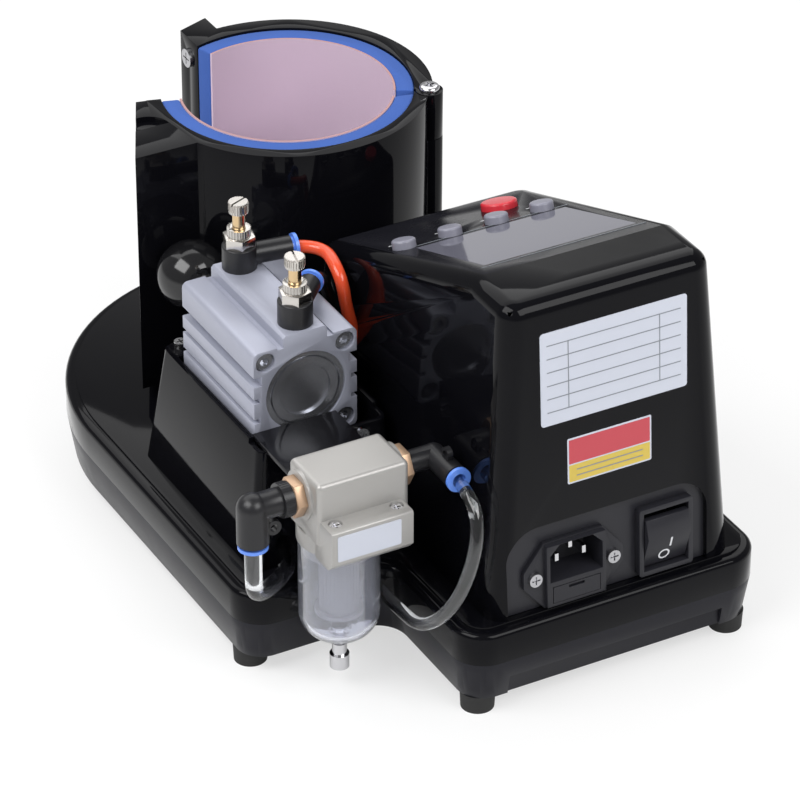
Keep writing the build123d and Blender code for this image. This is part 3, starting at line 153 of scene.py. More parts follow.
def makeTone():
    # slow drift between two close shades
    tree, inside, outside = newGroup(
        "toneDrift",
        [
            ("Scale", "NodeSocketFloat", 20.0),
            ("Light", "NodeSocketColor", None),
            ("Dark", "NodeSocketColor", None),
        ],
        [("Color", "NodeSocketColor")],
    )
    place = addNode(tree, "ShaderNodeTexCoord")
    noise = addNode(tree, "ShaderNodeTexNoise", {"Detail": 4.0})
    mix = addNode(tree, "ShaderNodeMix", data_type="RGBA")
    link = tree.links.new
    link(place.outputs["Object"], noise.inputs["Vector"])
    link(inside.outputs["Scale"], noise.inputs["Scale"])
    link(noise.outputs["Fac"], mix.inputs["Factor"])
    link(inside.outputs["Light"], mix.inputs["A"])
    link(inside.outputs["Dark"], mix.inputs["B"])
    link(mix.outputs["Result"], outside.inputs["Color"])
    return tree


def makeWeave():
    # crossed threads of the heater's glass cloth, as a height
    tree, inside, outside = newGroup(
        "clothWeave",
        [("Scale", "NodeSocketFloat", 900.0)],
        [("Height", "NodeSocketFloat")],
    )
    place = addNode(tree, "ShaderNodeTexCoord")
    up = addNode(tree, "ShaderNodeTexWave", wave_type="BANDS", bands_direction="Z")
    around = addNode(tree, "ShaderNodeTexWave", wave_type="BANDS", bands_direction="DIAGONAL")
    both = addNode(tree, "ShaderNodeMath", operation="MULTIPLY")
    link = tree.links.new
    for wave in (up, around):
        link(place.outputs["Object"], wave.inputs["Vector"])
        link(inside.outputs["Scale"], wave.inputs["Scale"])
    link(up.outputs["Fac"], both.inputs[0])
    link(around.outputs["Fac"], both.inputs[1])
    link(both.outputs["Value"], outside.inputs["Height"])
    return tree


grainGroup = makeGrain()
smudgeGroup = makeSmudge()
toneGroup = makeTone()
weaveGroup = makeWeave()


# how fine the drift of shade and the smudges are, and how dark the second shade is when none is given
drift = {"toneScale": 20.0, "smudgeScale": 35.0, "darkShare": 0.8}


def finish(name, light, dark=None, metal=0.0, low=0.2, high=0.4, smudge=0.4, grain=900.0, coarse=60.0,
           share=0.3, bump=0.1, depth=0.0002, shader=()):
    # a Principled surface with drifting tone, a dusty film and a fine grain
    material = bpy.data.materials.new(name)
    material.use_nodes = True
    tree = material.node_tree
    surface = tree.nodes["Principled BSDF"]
    surface.inputs["Metallic"].default_value = metal
    for key, value in dict(shader).items():
        surface.inputs[key].default_value = value
    tone = addNode(tree, "ShaderNodeGroup", node_tree=toneGroup)
    tone.inputs["Scale"].default_value = drift["toneScale"]
    tone.inputs["Light"].default_value = (*light, 1)
    tone.inputs["Dark"].default_value = (*(dark or [channel * drift["darkShare"] for channel in light]), 1)
    film = addNode(tree, "ShaderNodeGroup", node_tree=smudgeGroup)
    for key, value in {"Scale": drift["smudgeScale"], "Amount": smudge, "Low": low, "High": high}.items():
        film.inputs[key].default_value = value
    skin = addNode(tree, "ShaderNodeGroup", node_tree=grainGroup)
    for key, value in {"Scale": grain, "Coarse": coarse, "Share": share}.items():
        skin.inputs[key].default_value = value
    raised = addNode(tree, "ShaderNodeBump", {"Strength": bump, "Distance": depth})
    link = tree.links.new
    link(tone.outputs["Color"], surface.inputs["Base Color"])
    link(film.outputs["Roughness"], surface.inputs["Roughness"])
    link(skin.outputs["Height"], raised.inputs["Height"])
    link(raised.outputs["Normal"], surface.inputs["Normal"])
    return material


glossCoat = {"Specular IOR Level": 0.08, "Coat Weight": 0.22, "Coat Roughness": 0.03, "Coat IOR": 1.25}
glossBlack = finish("glossBlackCoat", (0.003, 0.003, 0.0042), (0.0022, 0.0022, 0.0032), low=0.06, high=0.2,
                    smudge=0.35, bump=0.02, grain=140, shader=glossCoat)
panBlack = finish("panBlackPlastic", (0.009, 0.009, 0.0135), (0.007, 0.007, 0.011), low=0.28, high=0.4,
                  smudge=0.5, bump=0.05, grain=700, shader={"Specular IOR Level": 0.22})
panelFilm = finish("panelFilm", (0.010, 0.010, 0.013), (0.008, 0.008, 0.011), low=0.26, high=0.36, bump=0.03,
                   shader={"Specular IOR Level": 0.06})
satinBlack = finish("satinBlackCoat", (0.007, 0.007, 0.009), (0.005, 0.005, 0.006), low=0.16, high=0.3,
                    bump=0.06, shader={"Specular IOR Level": 0.16})
blackPlastic = finish("blackFittingPlastic", (0.014, 0.014, 0.016), low=0.3, high=0.5, bump=0.15,
                      shader={"Specular IOR Level": 0.35})
inletPlastic = finish("inletPlastic", (0.018, 0.018, 0.023), (0.014, 0.014, 0.018), low=0.34, high=0.5,
                      bump=0.3, grain=1600, depth=0.0001, shader={"Specular IOR Level": 0.3})
blackBall = finish("blackBallKnob", (0.008, 0.008, 0.009), low=0.1, high=0.22, bump=0.01)
rubber = finish("blackRubber", (0.012, 0.012, 0.012), low=0.65, high=0.85, bump=0.3)
blastedAlloy = finish("blastedAlloy", (0.36, 0.373, 0.45), (0.32, 0.332, 0.40), metal=0.3, low=0.44,
                      high=0.54, grain=2600, bump=0.22, depth=0.00006)
turnedAlloy = finish("turnedAlloy", (0.50, 0.51, 0.55), metal=0.9, low=0.25, high=0.36, bump=0.05)
brightSteel = finish("brightSteel", (0.66, 0.66, 0.68), metal=1.0, low=0.12, high=0.24, bump=0.02)
dullSteel = finish("dullSteel", (0.50, 0.50, 0.52), metal=1.0, low=0.28, high=0.42, bump=0.06)
nickel = finish("nickelPlate", (0.60, 0.57, 0.54), (0.52, 0.50, 0.47), metal=1.0, low=0.18, high=0.32,
                bump=0.04)
brass = finish("machinedBrass", (0.70, 0.52, 0.30), (0.58, 0.42, 0.24), metal=1.0, low=0.2, high=0.34,
               bump=0.05)
copperBrass = finish("copperyBrass", (0.53, 0.36, 0.24), (0.46, 0.305, 0.20), metal=0.7, low=0.36, high=0.48,
                     bump=0.08)
champagne = finish("champagneCasting", (0.375, 0.365, 0.352), (0.34, 0.332, 0.32), metal=0.4, low=0.38,
                   high=0.5, grain=1500, bump=0.25, depth=0.0001)
blueRing = finish("blueRelease", (0.12, 0.27, 0.82), low=0.22, high=0.34, bump=0.04)
blueFoam = finish("blueFoam", (0.036, 0.10, 0.37), (0.026, 0.08, 0.31), low=0.8, high=0.95, grain=1400,
                  coarse=300, share=0.5, bump=0.6, depth=0.0004)
greyKey = finish("greyKey", (0.22, 0.22, 0.27), low=0.35, high=0.5, bump=0.1)
redKey = finish("redKey", (0.60, 0.03, 0.045), low=0.25, high=0.4, bump=0.05)
boardGreen = finish("boardGreen", (0.02, 0.11, 0.05), low=0.3, high=0.45)
filterFelt = finish("filterFelt", (0.36, 0.36, 0.38), low=0.7, high=0.9, bump=0.5)
restPad = finish("restPad", (0.03, 0.03, 0.032), low=0.6, high=0.75, bump=0.2)
plateWhite = finish("plateWhite", (0.53, 0.555, 0.63), (0.49, 0.515, 0.59), low=0.24, high=0.36, bump=0.03)
stickerRed = finish("stickerRed", (0.52, 0.05, 0.07), low=0.25, high=0.35, bump=0.02)
stickerYellow = finish("stickerYellow", (0.62, 0.46, 0.07), low=0.25, high=0.35, bump=0.02)
markWhite = finish("markWhite", (0.72, 0.73, 0.76), low=0.35, high=0.5, bump=0.02)
lineGrey = finish("lineGrey", (0.22, 0.24, 0.27), low=0.35, high=0.5, bump=0.02)
orangeTube = finish("orangeTube", (0.68, 0.08, 0.025), (0.60, 0.06, 0.02), low=0.18, high=0.28, bump=0.02,
                    shader={"Subsurface Weight": 0.15, "Subsurface Scale": 0.002})
blackTube = finish("blackTube", (0.013, 0.013, 0.015), low=0.2, high=0.3, bump=0.02)
displayGlass = finish("displayGlass", (0.13, 0.13, 0.16), (0.11, 0.11, 0.14), low=0.06, high=0.14, bump=0.01,
                      shader={"Specular IOR Level": 0.3})


# the heater's cut top edge: how far up a face's normal must point there, and the silicone's colour
heaterEdge = {"normalUp": 0.5, "colour": (0.40, 0.22, 0.21, 1)}


def makeHeaterCloth():
    # the heater's pale face cloth: woven, with its silicone showing on the cut top edge
    material = finish("heaterCloth", (0.60, 0.47, 0.575), (0.54, 0.42, 0.52), low=0.42, high=0.55, bump=0.25)
    tree = material.node_tree
    surface = tree.nodes["Principled BSDF"]
    raised = surface.inputs["Normal"].links[0].from_node
    weave = addNode(tree, "ShaderNodeGroup", node_tree=weaveGroup)
    shape = addNode(tree, "ShaderNodeNewGeometry")
    split = addNode(tree, "ShaderNodeSeparateXYZ")
    edge = addNode(tree, "ShaderNodeMath", {1: heaterEdge["normalUp"]}, operation="GREATER_THAN")
    mix = addNode(tree, "ShaderNodeMix", data_type="RGBA")
    mix.inputs["B"].default_value = heaterEdge["colour"]
    link = tree.links.new
    tone = surface.inputs["Base Color"].links[0].from_socket
    link(weave.outputs["Height"], raised.inputs["Height"])
    link(shape.outputs["Normal"], split.inputs["Vector"])
    link(split.outputs["Z"], edge.inputs[0])
    link(edge.outputs["Value"], mix.inputs["Factor"])
    link(tone, mix.inputs["A"])
    link(mix.outputs["Result"], surface.inputs["Base Color"])
    return material


clearSkin = {"Coat Weight": 0.8, "Coat Roughness": 0.02}
clearHaze = 0.08  # how much rougher a smudge is than the clear skin


def makeClear(name, colour, roughness, ior, through):
    # a clear plastic with a faint film and a glossy skin on it
    clear = {"Transmission Weight": through, "IOR": ior, **clearSkin}
    return finish(name, colour, colour, low=roughness, high=roughness + clearHaze, bump=0.03, shader=clear)


heaterCloth = makeHeaterCloth()
clearBowl = makeClear("clearBowl", (0.86, 0.88, 0.97), 0.05, 1.4, 0.9)
clearTube = makeClear("clearTube", (0.95, 0.97, 0.99), 0.04, 1.25, 1.0)
print("finishes ready:", len(bpy.data.materials))

# the finish of each rigid piece in the frame
finishOf = {
    "base_pan": panBlack, "base_tray": glossBlack, "rubber_feet": rubber, "control_housing": glossBlack,
    "display_window": displayGlass, "display_board": boardGreen, "inlet_panel": inletPlastic,
    "inlet_socket": inletPlastic, "inlet_pins": brightSteel, "fuse_drawer": inletPlastic,
    "machine_screws": dullSteel, "rocker_bezel": inletPlastic, "power_rocker": inletPlastic,
    "set_key": greyKey, "up_key": greyKey, "down_key": greyKey, "start_key": greyKey, "power_key": redKey,
    "stand_housing": glossBlack, "cylinder_bracket": satinBlack, "bracket_screws": brightSteel,
    "cylinder_body": blastedAlloy, "cylinder_cap": turnedAlloy, "rod_bush": turnedAlloy,
    "cylinder_bolts": turnedAlloy, "piston": turnedAlloy, "piston_rod": brightSteel, "ball_knob": blackBall,
    "valve_body_far": blackPlastic, "valve_body_near": blackPlastic, "lock_nuts": nickel, "needle_far": brass,
    "needle_near": brass, "ring_far": blueRing, "ring_near": blueRing, "ring_left": blueRing,
    "ring_right": blueRing, "filter_head": champagne, "port_bushings": copperBrass, "filter_bowl": clearBowl,
    "filter_element": filterFelt, "drain_valve": brightSteel, "elbow_left": blackPlastic,
    "elbow_right": blackPlastic, "near_jaw": glossBlack, "far_jaw": glossBlack, "near_heater": heaterCloth,
    "far_heater": heaterCloth, "hinge_pin": brightSteel, "mug_rest": restPad, "air_pump": dullSteel,
    "solenoid_valve": blackPlastic, "power_supply": boardGreen,
}
# width of the softened edges in millimetres
softEdge = {
    "base_pan": 0.6, "base_tray": 0.6, "control_housing": 0.5, "near_jaw": 0.9, "far_jaw": 0.9,
    "stand_housing": 0.7, "cylinder_bracket": 0.4, "cylinder_body": 0.35, "filter_head": 0.6,
    "power_rocker": 0.5, "lock_nuts": 0.25, "port_bushings": 0.35, "inlet_socket": 0.3, "rocker_bezel": 0.35,
}
# how a copy is cleaned and shaded: a distance in metres, and angles in degrees
copying = {"merge": 1e-6, "flat": 0.6, "bevelAbove": 40, "bevelSegments": 2, "smoothBelow": 32}


def bodyOf(node):
    return frame["nodes"][node]["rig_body"]


def shadeByAngle(mesh):
    # smooth faces, with every edge sharp where its faces meet at a wide angle
    angle = math.radians(copying["smoothBelow"])
    for polygon in mesh.polygons:
        polygon.use_smooth = True
    shape = bmesh.new()
    shape.from_mesh(mesh)
    for edge in shape.edges:
        edge.smooth = len(edge.link_faces) == 2 and edge.calc_face_angle(0) < angle
    shape.to_mesh(mesh)
    shape.free()


def applyModifiers(piece):
    bpy.context.view_layer.update()
    shown = piece.evaluated_get(bpy.context.evaluated_depsgraph_get())
    mesh = bpy.data.meshes.new_from_object(shown)
    piece.modifiers.clear()
    piece.data = mesh


def newPiece(name, mesh):
    piece = bpy.data.objects.new(name, mesh)
    bpy.context.scene.collection.objects.link(piece)
    return piece


def dress(node, material, width):
    # a merged copy of the node, its flat faces rejoined and its sharp edges bevelled
    name = "".join(word.capitalize() if place else word for place, word in enumerate(node.split("_")))
    mesh = frame["nodes"][node].data.copy()
    mesh.name = name
    shape = bmesh.new()
    shape.from_mesh(mesh)
    bmesh.ops.remove_doubles(shape, verts=shape.verts, dist=copying["merge"])
    flatWithin = math.radians(copying["flat"])
    bmesh.ops.dissolve_limit(
        shape, angle_limit=flatWithin, verts=shape.verts, edges=shape.edges, delimit={"NORMAL"}
    )
    shape.to_mesh(mesh)
    shape.free()
    piece = newPiece(name, mesh)
    mesh.materials.clear()
    mesh.materials.append(material)
    for polygon in mesh.polygons:
        polygon.use_smooth = True
    if width:
        bevel = piece.modifiers.new("softEdge", "BEVEL")
        bevel.width = width * mm
        bevel.segments = copying["bevelSegments"]
        bevel.limit_method = "ANGLE"
        bevel.angle_limit = math.radians(copying["bevelAbove"])
        bevel.use_clamp_overlap = True
        bevel.harden_normals = False
        applyModifiers(piece)
    shadeByAngle(piece.data)
    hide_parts(node)
    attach(piece, bodyOf(node))
    return piece


def paintAbove(piece, height, material):
    # everything on the piece above this height takes a second finish
    mesh = piece.data
    mesh.materials.append(material)
    for polygon in mesh.polygons:
        if polygon.center.z > height * mm:
            polygon.material_index = 1


squareOn = 0.9995  # cosine past which a face counts as facing a way


def paintFacing(piece, way, material):
    # every flat face of the piece that looks this way takes a second finish
    mesh = piece.data
    mesh.materials.append(material)
    for polygon in mesh.polygons:
        if polygon.normal.dot(way) > squareOn:
            polygon.material_index = 1


dressed = {}
for node, material in finishOf.items():
    dressed[node] = dress(node, material, softEdge.get(node, 0.0))
print("pieces dressed:", len(dressed))

# the flow valves' stems are brass, and their knobs nickel from this height up
knobFoot = 180.5
paintAbove(dressed["needle_far"], knobFoot, nickel)
paintAbove(dressed["needle_near"], knobFoot, nickel)


def newGeometryTree(name, inputs):
    tree = bpy.data.node_groups.new(name, "GeometryNodeTree")
    for label, kind in inputs:
        tree.interface.new_socket(name=label, in_out="INPUT", socket_type=kind)
    tree.interface.new_socket(name="Place", in_out="INPUT", socket_type="NodeSocketVector")
    tree.interface.new_socket(name="Turn", in_out="INPUT", socket_type="NodeSocketVector")
    tree.interface.new_socket(name="Finish", in_out="INPUT", socket_type="NodeSocketMaterial")
    tree.interface.new_socket(name="Geometry", in_out="OUTPUT", socket_type="NodeSocketGeometry")
    return tree, tree.nodes.new("NodeGroupInput"), tree.nodes.new("NodeGroupOutput")


def closeTree(tree, inside, outside, instances):
    # moves the instances into place, makes them real and gives them their finish
    move = addNode(tree, "GeometryNodeTransform")
    real = addNode(tree, "GeometryNodeRealizeInstances")
    paint = addNode(tree, "GeometryNodeSetMaterial")
    link = tree.links.new
    link(instances, move.inputs["Geometry"])
    link(inside.outputs["Place"], move.inputs["Translation"])
    link(inside.outputs["Turn"], move.inputs["Rotation"])
    link(move.outputs["Geometry"], real.inputs["Geometry"])
    link(real.outputs["Geometry"], paint.inputs["Geometry"])
    link(inside.outputs["Finish"], paint.inputs["Material"])
    link(paint.outputs["Geometry"], outside.inputs["Geometry"])


def makeRidgeRing():
    # upright ridges standing on a circle, for knurls and pleats
    tree, inside, outside = newGeometryTree(
        "ridgeRing",
        [("Count", "NodeSocketInt"), ("Radius", "NodeSocketFloat"), ("Ridge", "NodeSocketVector")],
    )
    ring = addNode(tree, "GeometryNodeMeshCircle")
    ridge = addNode(tree, "GeometryNodeMeshCube")
    where = addNode(tree, "GeometryNodeInputPosition")
    turn = addNode(tree, "FunctionNodeAlignRotationToVector", axis="X")
    stand = addNode(tree, "GeometryNodeInstanceOnPoints")
    link = tree.links.new
    link(inside.outputs["Count"], ring.inputs["Vertices"])
    link(inside.outputs["Radius"], ring.inputs["Radius"])
    link(inside.outputs["Ridge"], ridge.inputs["Size"])
    link(where.outputs["Position"], turn.inputs["Vector"])
    link(ring.outputs["Mesh"], stand.inputs["Points"])
    link(ridge.outputs["Mesh"], stand.inputs["Instance"])
    link(turn.outputs["Rotation"], stand.inputs["Rotation"])
    closeTree(tree, inside, outside, stand.outputs["Instances"])
    return tree


def makeBarRow():
    # equal bars at an even step, for printed dashes and ruled lines
    tree, inside, outside = newGeometryTree(
        "barRow", [("Count", "NodeSocketInt"), ("Step", "NodeSocketVector"), ("Bar", "NodeSocketVector")]
    )
    row = addNode(tree, "GeometryNodeMeshLine")
    bar = addNode(tree, "GeometryNodeMeshCube")
    stand = addNode(tree, "GeometryNodeInstanceOnPoints")
    link = tree.links.new
    link(inside.outputs["Count"], row.inputs["Count"])
    link(inside.outputs["Step"], row.inputs["Offset"])
    link(inside.outputs["Bar"], bar.inputs["Size"])
    link(row.outputs["Mesh"], stand.inputs["Points"])
    link(bar.outputs["Mesh"], stand.inputs["Instance"])
    closeTree(tree, inside, outside, stand.outputs["Instances"])
    return tree


def grow(name, tree, body, sizes):
    # one plain mesh from a tree, riding on one body
    piece = newPiece(name, bpy.data.meshes.new(name))
    modifier = piece.modifiers.new(tree.name, "NODES")
    modifier.node_group = tree
    for socket in tree.interface.items_tree:
        if socket.in_out == "INPUT" and socket.name in sizes:
            modifier[socket.identifier] = sizes[socket.name]
    applyModifiers(piece)
    piece.data.name = name
    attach(piece, body)
    return piece


ridgeRing = makeRidgeRing()
barRow = makeBarRow()

# where the flow valves and the filter stand, in millimetres: x, y and the turn of a valve's arm in degrees
valveAxis = {"far": (-63.0, 0.5, -8.0), "near": (-63.0, -54.5, 47.0)}
filterAxis = (-76.5, -120.5)
portHeight = 108.5
knobMiddle = 183.9

# knurls and pleats in millimetres; a ridge stands as deep, out from the axis, and as wide on each of them
ridgeSize = {"deep": 0.5, "wide": 0.45}
knobKnurl = {"radius": 4.45, "tall": 3.6, "count": 28, "finish": nickel, "turn": (0, 0, 0)}
knurls = {
    "farKnobKnurl": {"middle": (*valveAxis["far"][:2], knobMiddle), "body": "needle_far", **knobKnurl},
    "nearKnobKnurl": {"middle": (*valveAxis["near"][:2], knobMiddle), "body": "needle_near", **knobKnurl},
    "leftCollarKnurl": {"middle": (-103.7, filterAxis[1], portHeight), "radius": 7.9, "tall": 4.0,
                        "count": 36, "body": "base", "finish": blackPlastic, "turn": (0, 90, 0)},
    "elementPleats": {"middle": (*filterAxis, 59.7), "radius": 8.9, "tall": 28.0, "count": 30,
                      "body": "base", "finish": filterFelt, "turn": (0, 0, 0)},
}
for name, facts in knurls.items():
    grow(name, ridgeRing, facts["body"], {
        "Count": facts["count"],
        "Radius": facts["radius"] * mm,
        "Ridge": (ridgeSize["deep"] * mm, ridgeSize["wide"] * mm, facts["tall"] * mm),
        "Place": at(*facts["middle"]),
        "Turn": tuple(math.radians(angle) for angle in facts["turn"]),
        "Finish": facts["finish"],
    })
print("knurls and pleats:", len(knurls))

# the housing's rear face and control panel: x runs right, y up the rear face or down the panel, z outwards
housing = {"foot": -171.5, "lean": 4.0, "top": 154.0, "strip": 32.0, "slope": 20.5}
rearTurn = math.radians(90 - housing["lean"])
panelTurn = math.radians(-housing["slope"])
panelBreak = housing["foot"] + housing["top"] * math.tan(math.radians(housing["lean"])) + housing["strip"]
panelFoot = at(0, panelBreak, deckHeight + housing["top"])
rearFace = Matrix.Translation(at(0, housing["foot"], deckHeight)) @ Matrix.Rotation(rearTurn, 4, "X")
panelFace = Matrix.Translation(panelFoot) @ Matrix.Rotation(panelTurn, 4, "X")

# the control panel carries a satin film
paintFacing(dressed["control_housing"], panelFace.to_3x3() @ Vector((0, 0, 1)), panelFilm)


def spot(face, x, y, z=0.0):
    return face @ Vector((x * mm, y * mm, z * mm))


cornerSteps = 6  # straight runs in each round corner of a plate


def roundedOutline(width, height, corner):
    points = []
    for quarter, (right, up) in enumerate(((1, 1), (-1, 1), (-1, -1), (1, -1))):
        for step in range(cornerSteps + 1):
            angle = math.radians(90 * quarter + 90 / cornerSteps * step)
            points.append((right * (width / 2 - corner) + corner * math.cos(angle),
                           up * (height / 2 - corner) + corner * math.sin(angle)))
    return points


def plate(name, face, facts, body):
    # a thin flat piece with rounded corners, lying on a face
    shape = bmesh.new()
    x, y = facts["middle"]
    lift = facts.get("lift", 0.0)
    outline = roundedOutline(*facts["size"], facts["corner"])
    low = [shape.verts.new(spot(face, x + u, y + v, lift)) for u, v in outline]
    high = [shape.verts.new(spot(face, x + u, y + v, lift + facts["thick"])) for u, v in outline]
    shape.faces.new(high)
    shape.faces.new(reversed(low))
    for place in range(len(low)):
        after = (place + 1) % len(low)
        shape.faces.new((low[place], low[after], high[after], high[place]))
    mesh = bpy.data.meshes.new(name)
    shape.to_mesh(mesh)
    shape.free()
    mesh.materials.append(facts["finish"])
    piece = newPiece(name, mesh)
    shadeByAngle(mesh)
    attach(piece, body)
    return piece


# a bare plate and a plain sticker on the rear face, and a bare plate on the filter
ratingPlate = {"middle": (37.2, 116.0), "size": (74.5, 46.0), "corner": 1.6, "thick": 0.3,
               "finish": plateWhite}
plate("ratingPlate", rearFace, ratingPlate, "base")
stickerCard = {"middle": (34.5, 72.1), "size": (43.0, 22.8), "corner": 0.8, "thick": 0.12,
               "finish": plateWhite}
plate("stickerCard", rearFace, stickerCard, "base")
stickerTop = {"middle": (34.5, 76.6), "size": (41.4, 12.0), "corner": 0.4, "thick": 0.08, "lift": 0.12,
              "finish": stickerRed}
plate("stickerTop", rearFace, stickerTop, "base")
stickerFoot = {"middle": (34.5, 65.7), "size": (41.4, 8.4), "corner": 0.4, "thick": 0.08, "lift": 0.12,
               "finish": stickerYellow}
plate("stickerFoot", rearFace, stickerFoot, "base")
filterPlate = {"middle": (-75.5, -147.5, 93.8), "size": (31.5, 13.0), "corner": 0.8, "thick": 0.3,
               "finish": plateWhite}
filterFace = Matrix.Translation(at(*filterPlate["middle"])) @ Matrix.Rotation(math.radians(90), 4, "X")
plate("filterPlate", filterFace, {**filterPlate, "middle": (0, 0)}, "base")

# ruled lines on the plate and the sticker, the window's two edge lines, and dashes beside the keys
printThick = 0.1
ruled = {
    "plateRules": {"face": rearFace, "turn": rearTurn, "first": (37.2, 99.5), "step": (0, 6.6), "count": 6,
                   "bar": (68.0, 0.45), "lift": 0.3, "finish": lineGrey},
    "plateColumns": {"face": rearFace, "turn": rearTurn, "first": (14.0, 116.0), "step": (46.4, 0),
                     "count": 2, "bar": (0.45, 33.0), "lift": 0.3, "finish": lineGrey},
    "stickerRules": {"face": rearFace, "turn": rearTurn, "first": (34.5, 64.2), "step": (0, 3.0), "count": 2,
                     "bar": (34.0, 0.5), "lift": 0.2, "finish": lineGrey},
    "keyDashes": {"face": panelFace, "turn": panelTurn, "first": (-2.2, 98.6), "step": (23.97, 0), "count": 4,
                  "bar": (7.0, 0.9), "lift": 0.0, "finish": markWhite},
    "windowFrame": {"face": panelFace, "turn": panelTurn, "first": (39.0, 13.2), "step": (0, 72.6),
                    "count": 2, "bar": (84.0, 0.5), "lift": 0.0, "finish": lineGrey},
}
for name, facts in ruled.items():
    grow(name, barRow, "base", {
        "Count": facts["count"],
        "Step": (facts["step"][0] * mm, facts["step"][1] * mm, 0),
        "Bar": (facts["bar"][0] * mm, facts["bar"][1] * mm, printThick * mm),
        "Place": spot(facts["face"], *facts["first"], facts["lift"] + printThick / 2),
        "Turn": (facts["turn"], 0, 0),
        "Finish": facts["finish"],
    })
print("plates and printed rows ready")

# the rocker's two generic marks lie on its lower face
rocker = {"place": (63.0, 19.0, -5.0), "tilt": 10.0, "ridge": (4.5, 8.8), "foot": (-12.8, 6.2)}
rockerSlope = math.atan((rocker["ridge"][1] - rocker["foot"][1]) / (rocker["ridge"][0] - rocker["foot"][0]))
rockerFace = (
    rearFace
    @ Matrix.Translation(Vector(rocker["place"]) * mm)
    @ Matrix.Rotation(math.radians(rocker["tilt"]), 4, "X")
    @ Matrix.Translation(Vector((0, *rocker["ridge"])) * mm)
    @ Matrix.Rotation(rockerSlope, 4, "X")
)
onMark = {"middle": (1.5, -5.0), "size": (0.9, 5.6), "corner": 0.2, "thick": 0.12, "finish": markWhite}
plate("onMark", rockerFace, onMark, "rocker")
offMark = {"middle": (-1.0, -12.2), "outer": 2.9, "inner": 2.1, "thick": 0.12, "steps": 40}


def ringMark(name, face, facts, material, body):
    # a thin flat ring lying on a face
    shape = bmesh.new()
    steps = facts["steps"]
    x, y = facts["middle"]
    outer = facts["outer"]
    inner = facts["inner"]
    thick = facts["thick"]
    rings = []
    for radius, lift in ((outer, 0), (outer, thick), (inner, thick), (inner, 0)):
        ring = []
        for step in range(steps):
            angle = 2 * math.pi * step / steps
            across = x + radius * math.cos(angle)
            up = y + radius * math.sin(angle)
            ring.append(shape.verts.new(spot(face, across, up, lift)))
        rings.append(ring)
    for here, after in zip(rings, rings[1:] + rings[:1]):
        for step in range(steps):
            following = (step + 1) % steps
            shape.faces.new((here[step], here[following], after[following], after[step]))
    mesh = bpy.data.meshes.new(name)
    shape.to_mesh(mesh)
    shape.free()
    mesh.materials.append(material)
    piece = newPiece(name, mesh)
    shadeByAngle(mesh)
    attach(piece, body)
    return piece


ringMark("offMark", rockerFace, offMark, markWhite, "rocker")
print("rocker marks ready")

# air tubes: free lines steered by their routes' points, in millimetres
armHeight = 158.0


def onArm(side, distance):
    x, y, turn = valveAxis[side]
    turn = math.radians(turn)
    return (x + distance * math.cos(turn), y + distance * math.sin(turn), armHeight)


airTubes = {
    "orangeAirTube": {
        "node": "orange_air_tube", "finish": orangeTube, "width": 6.0,
        "points": [onArm("far", 15.5), onArm("far", 39.0), (-28.5, -33.5, 156), (-24.9, -32.7, 131.4),
                   (-15.1, -30.8, 103.1)],
    },
    "blackAirTube": {
        "node": "black_air_tube", "finish": blackTube, "width": 6.0,
        "points": [onArm("near", 15.5), onArm("near", 40.0), (-25.2, -17, 130.9), (-12.5, -11, 104.3)],
    },
    "clearOutletTube": {
        "node": "clear_outlet_tube", "finish": clearTube, "width": 6.0,
        "points": [(-28.7, -132, 108.5), (-28.7, -157, 108.5), (-32, -168, 90), (-41, -166, 60),
                   (-49.5, -150, 38.5), (-50.5, -126, 37), (-50.5, -94, 37)],
    },
    "clearInletTube": {
        "node": "clear_inlet_tube", "finish": clearTube, "width": 8.0,
        "points": [(-119, -120.5, 100), (-119, -120.5, 78), (-117, -117, 58), (-99, -105, 54), (-85, -95, 57),
                   (-85, -76, 57)],
    },
}


# a tube's curve: how fine it is along and round, and the order of its spline
tubeCurve = {"along": 24, "round": 8, "order": 3}


def splineLength(curve):
    line = bpy.data.meshes.new_from_object(curve)
    spots = [vertex.co for vertex in line.vertices]
    return sum((spots[edge.vertices[0]] - spots[edge.vertices[1]]).length for edge in line.edges)


for name, facts in airTubes.items():
    curve = bpy.data.curves.new(name, "CURVE")
    curve.dimensions = "3D"
    curve.resolution_u = tubeCurve["along"]
    spline = curve.splines.new("NURBS")
    points = [at(*point) for point in facts["points"]]
    spline.points.add(len(points) - 1)
    for control, point in zip(spline.points, points):
        control.co = (*point, 1)
    spline.order_u = tubeCurve["order"]
    spline.use_endpoint_u = True
    tube = newPiece(name, curve)
    length = splineLength(tube)
    curve.bevel_depth = facts["width"] / 2 * mm
    curve.bevel_resolution = tubeCurve["round"]
    curve.use_fill_caps = True
    curve.materials.append(facts["finish"])
    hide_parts(facts["node"])
    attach(tube, "base")
    print("tube", name, round(length / mm), "mm")

# foam linings, with this much round on their edges
liningRound = 1.2


def padPiece(name, node):
    piece = dress(node, blueFoam, liningRound)
    piece.name = name
    return piece


padPiece("nearFoamPad", "near_foam")
padPiece("farFoamPad", "far_foam")
print("linings ready")

# studio: where the camera looks, in millimetres, and its angles in degrees, distance in metres and lens
studio = {
    "target": (14.0, -11.5, 63.6), "azimuth": -28.727, "elevation": 32.411, "roll": 0.157, "distance": 2.1205,
    "lens": 202.5, "sensor": 36.0, "clipEnd": 50,
}


def aim(thing, back, side):
    # turns a camera or a lamp so that its back and its side point these ways
    up = back.cross(side)
    place = thing.location
    thing.matrix_world = Matrix((
        (side.x, up.x, back.x, place.x),
        (side.y, up.y, back.y, place.y),
        (side.z, up.z, back.z, place.z),
        (0, 0, 0, 1),
    ))


def directionOf(azimuth, elevation):
    turn = math.radians(azimuth)
    rise = math.radians(elevation)
    return Vector((math.sin(turn) * math.cos(rise), -math.cos(turn) * math.cos(rise), math.sin(rise)))


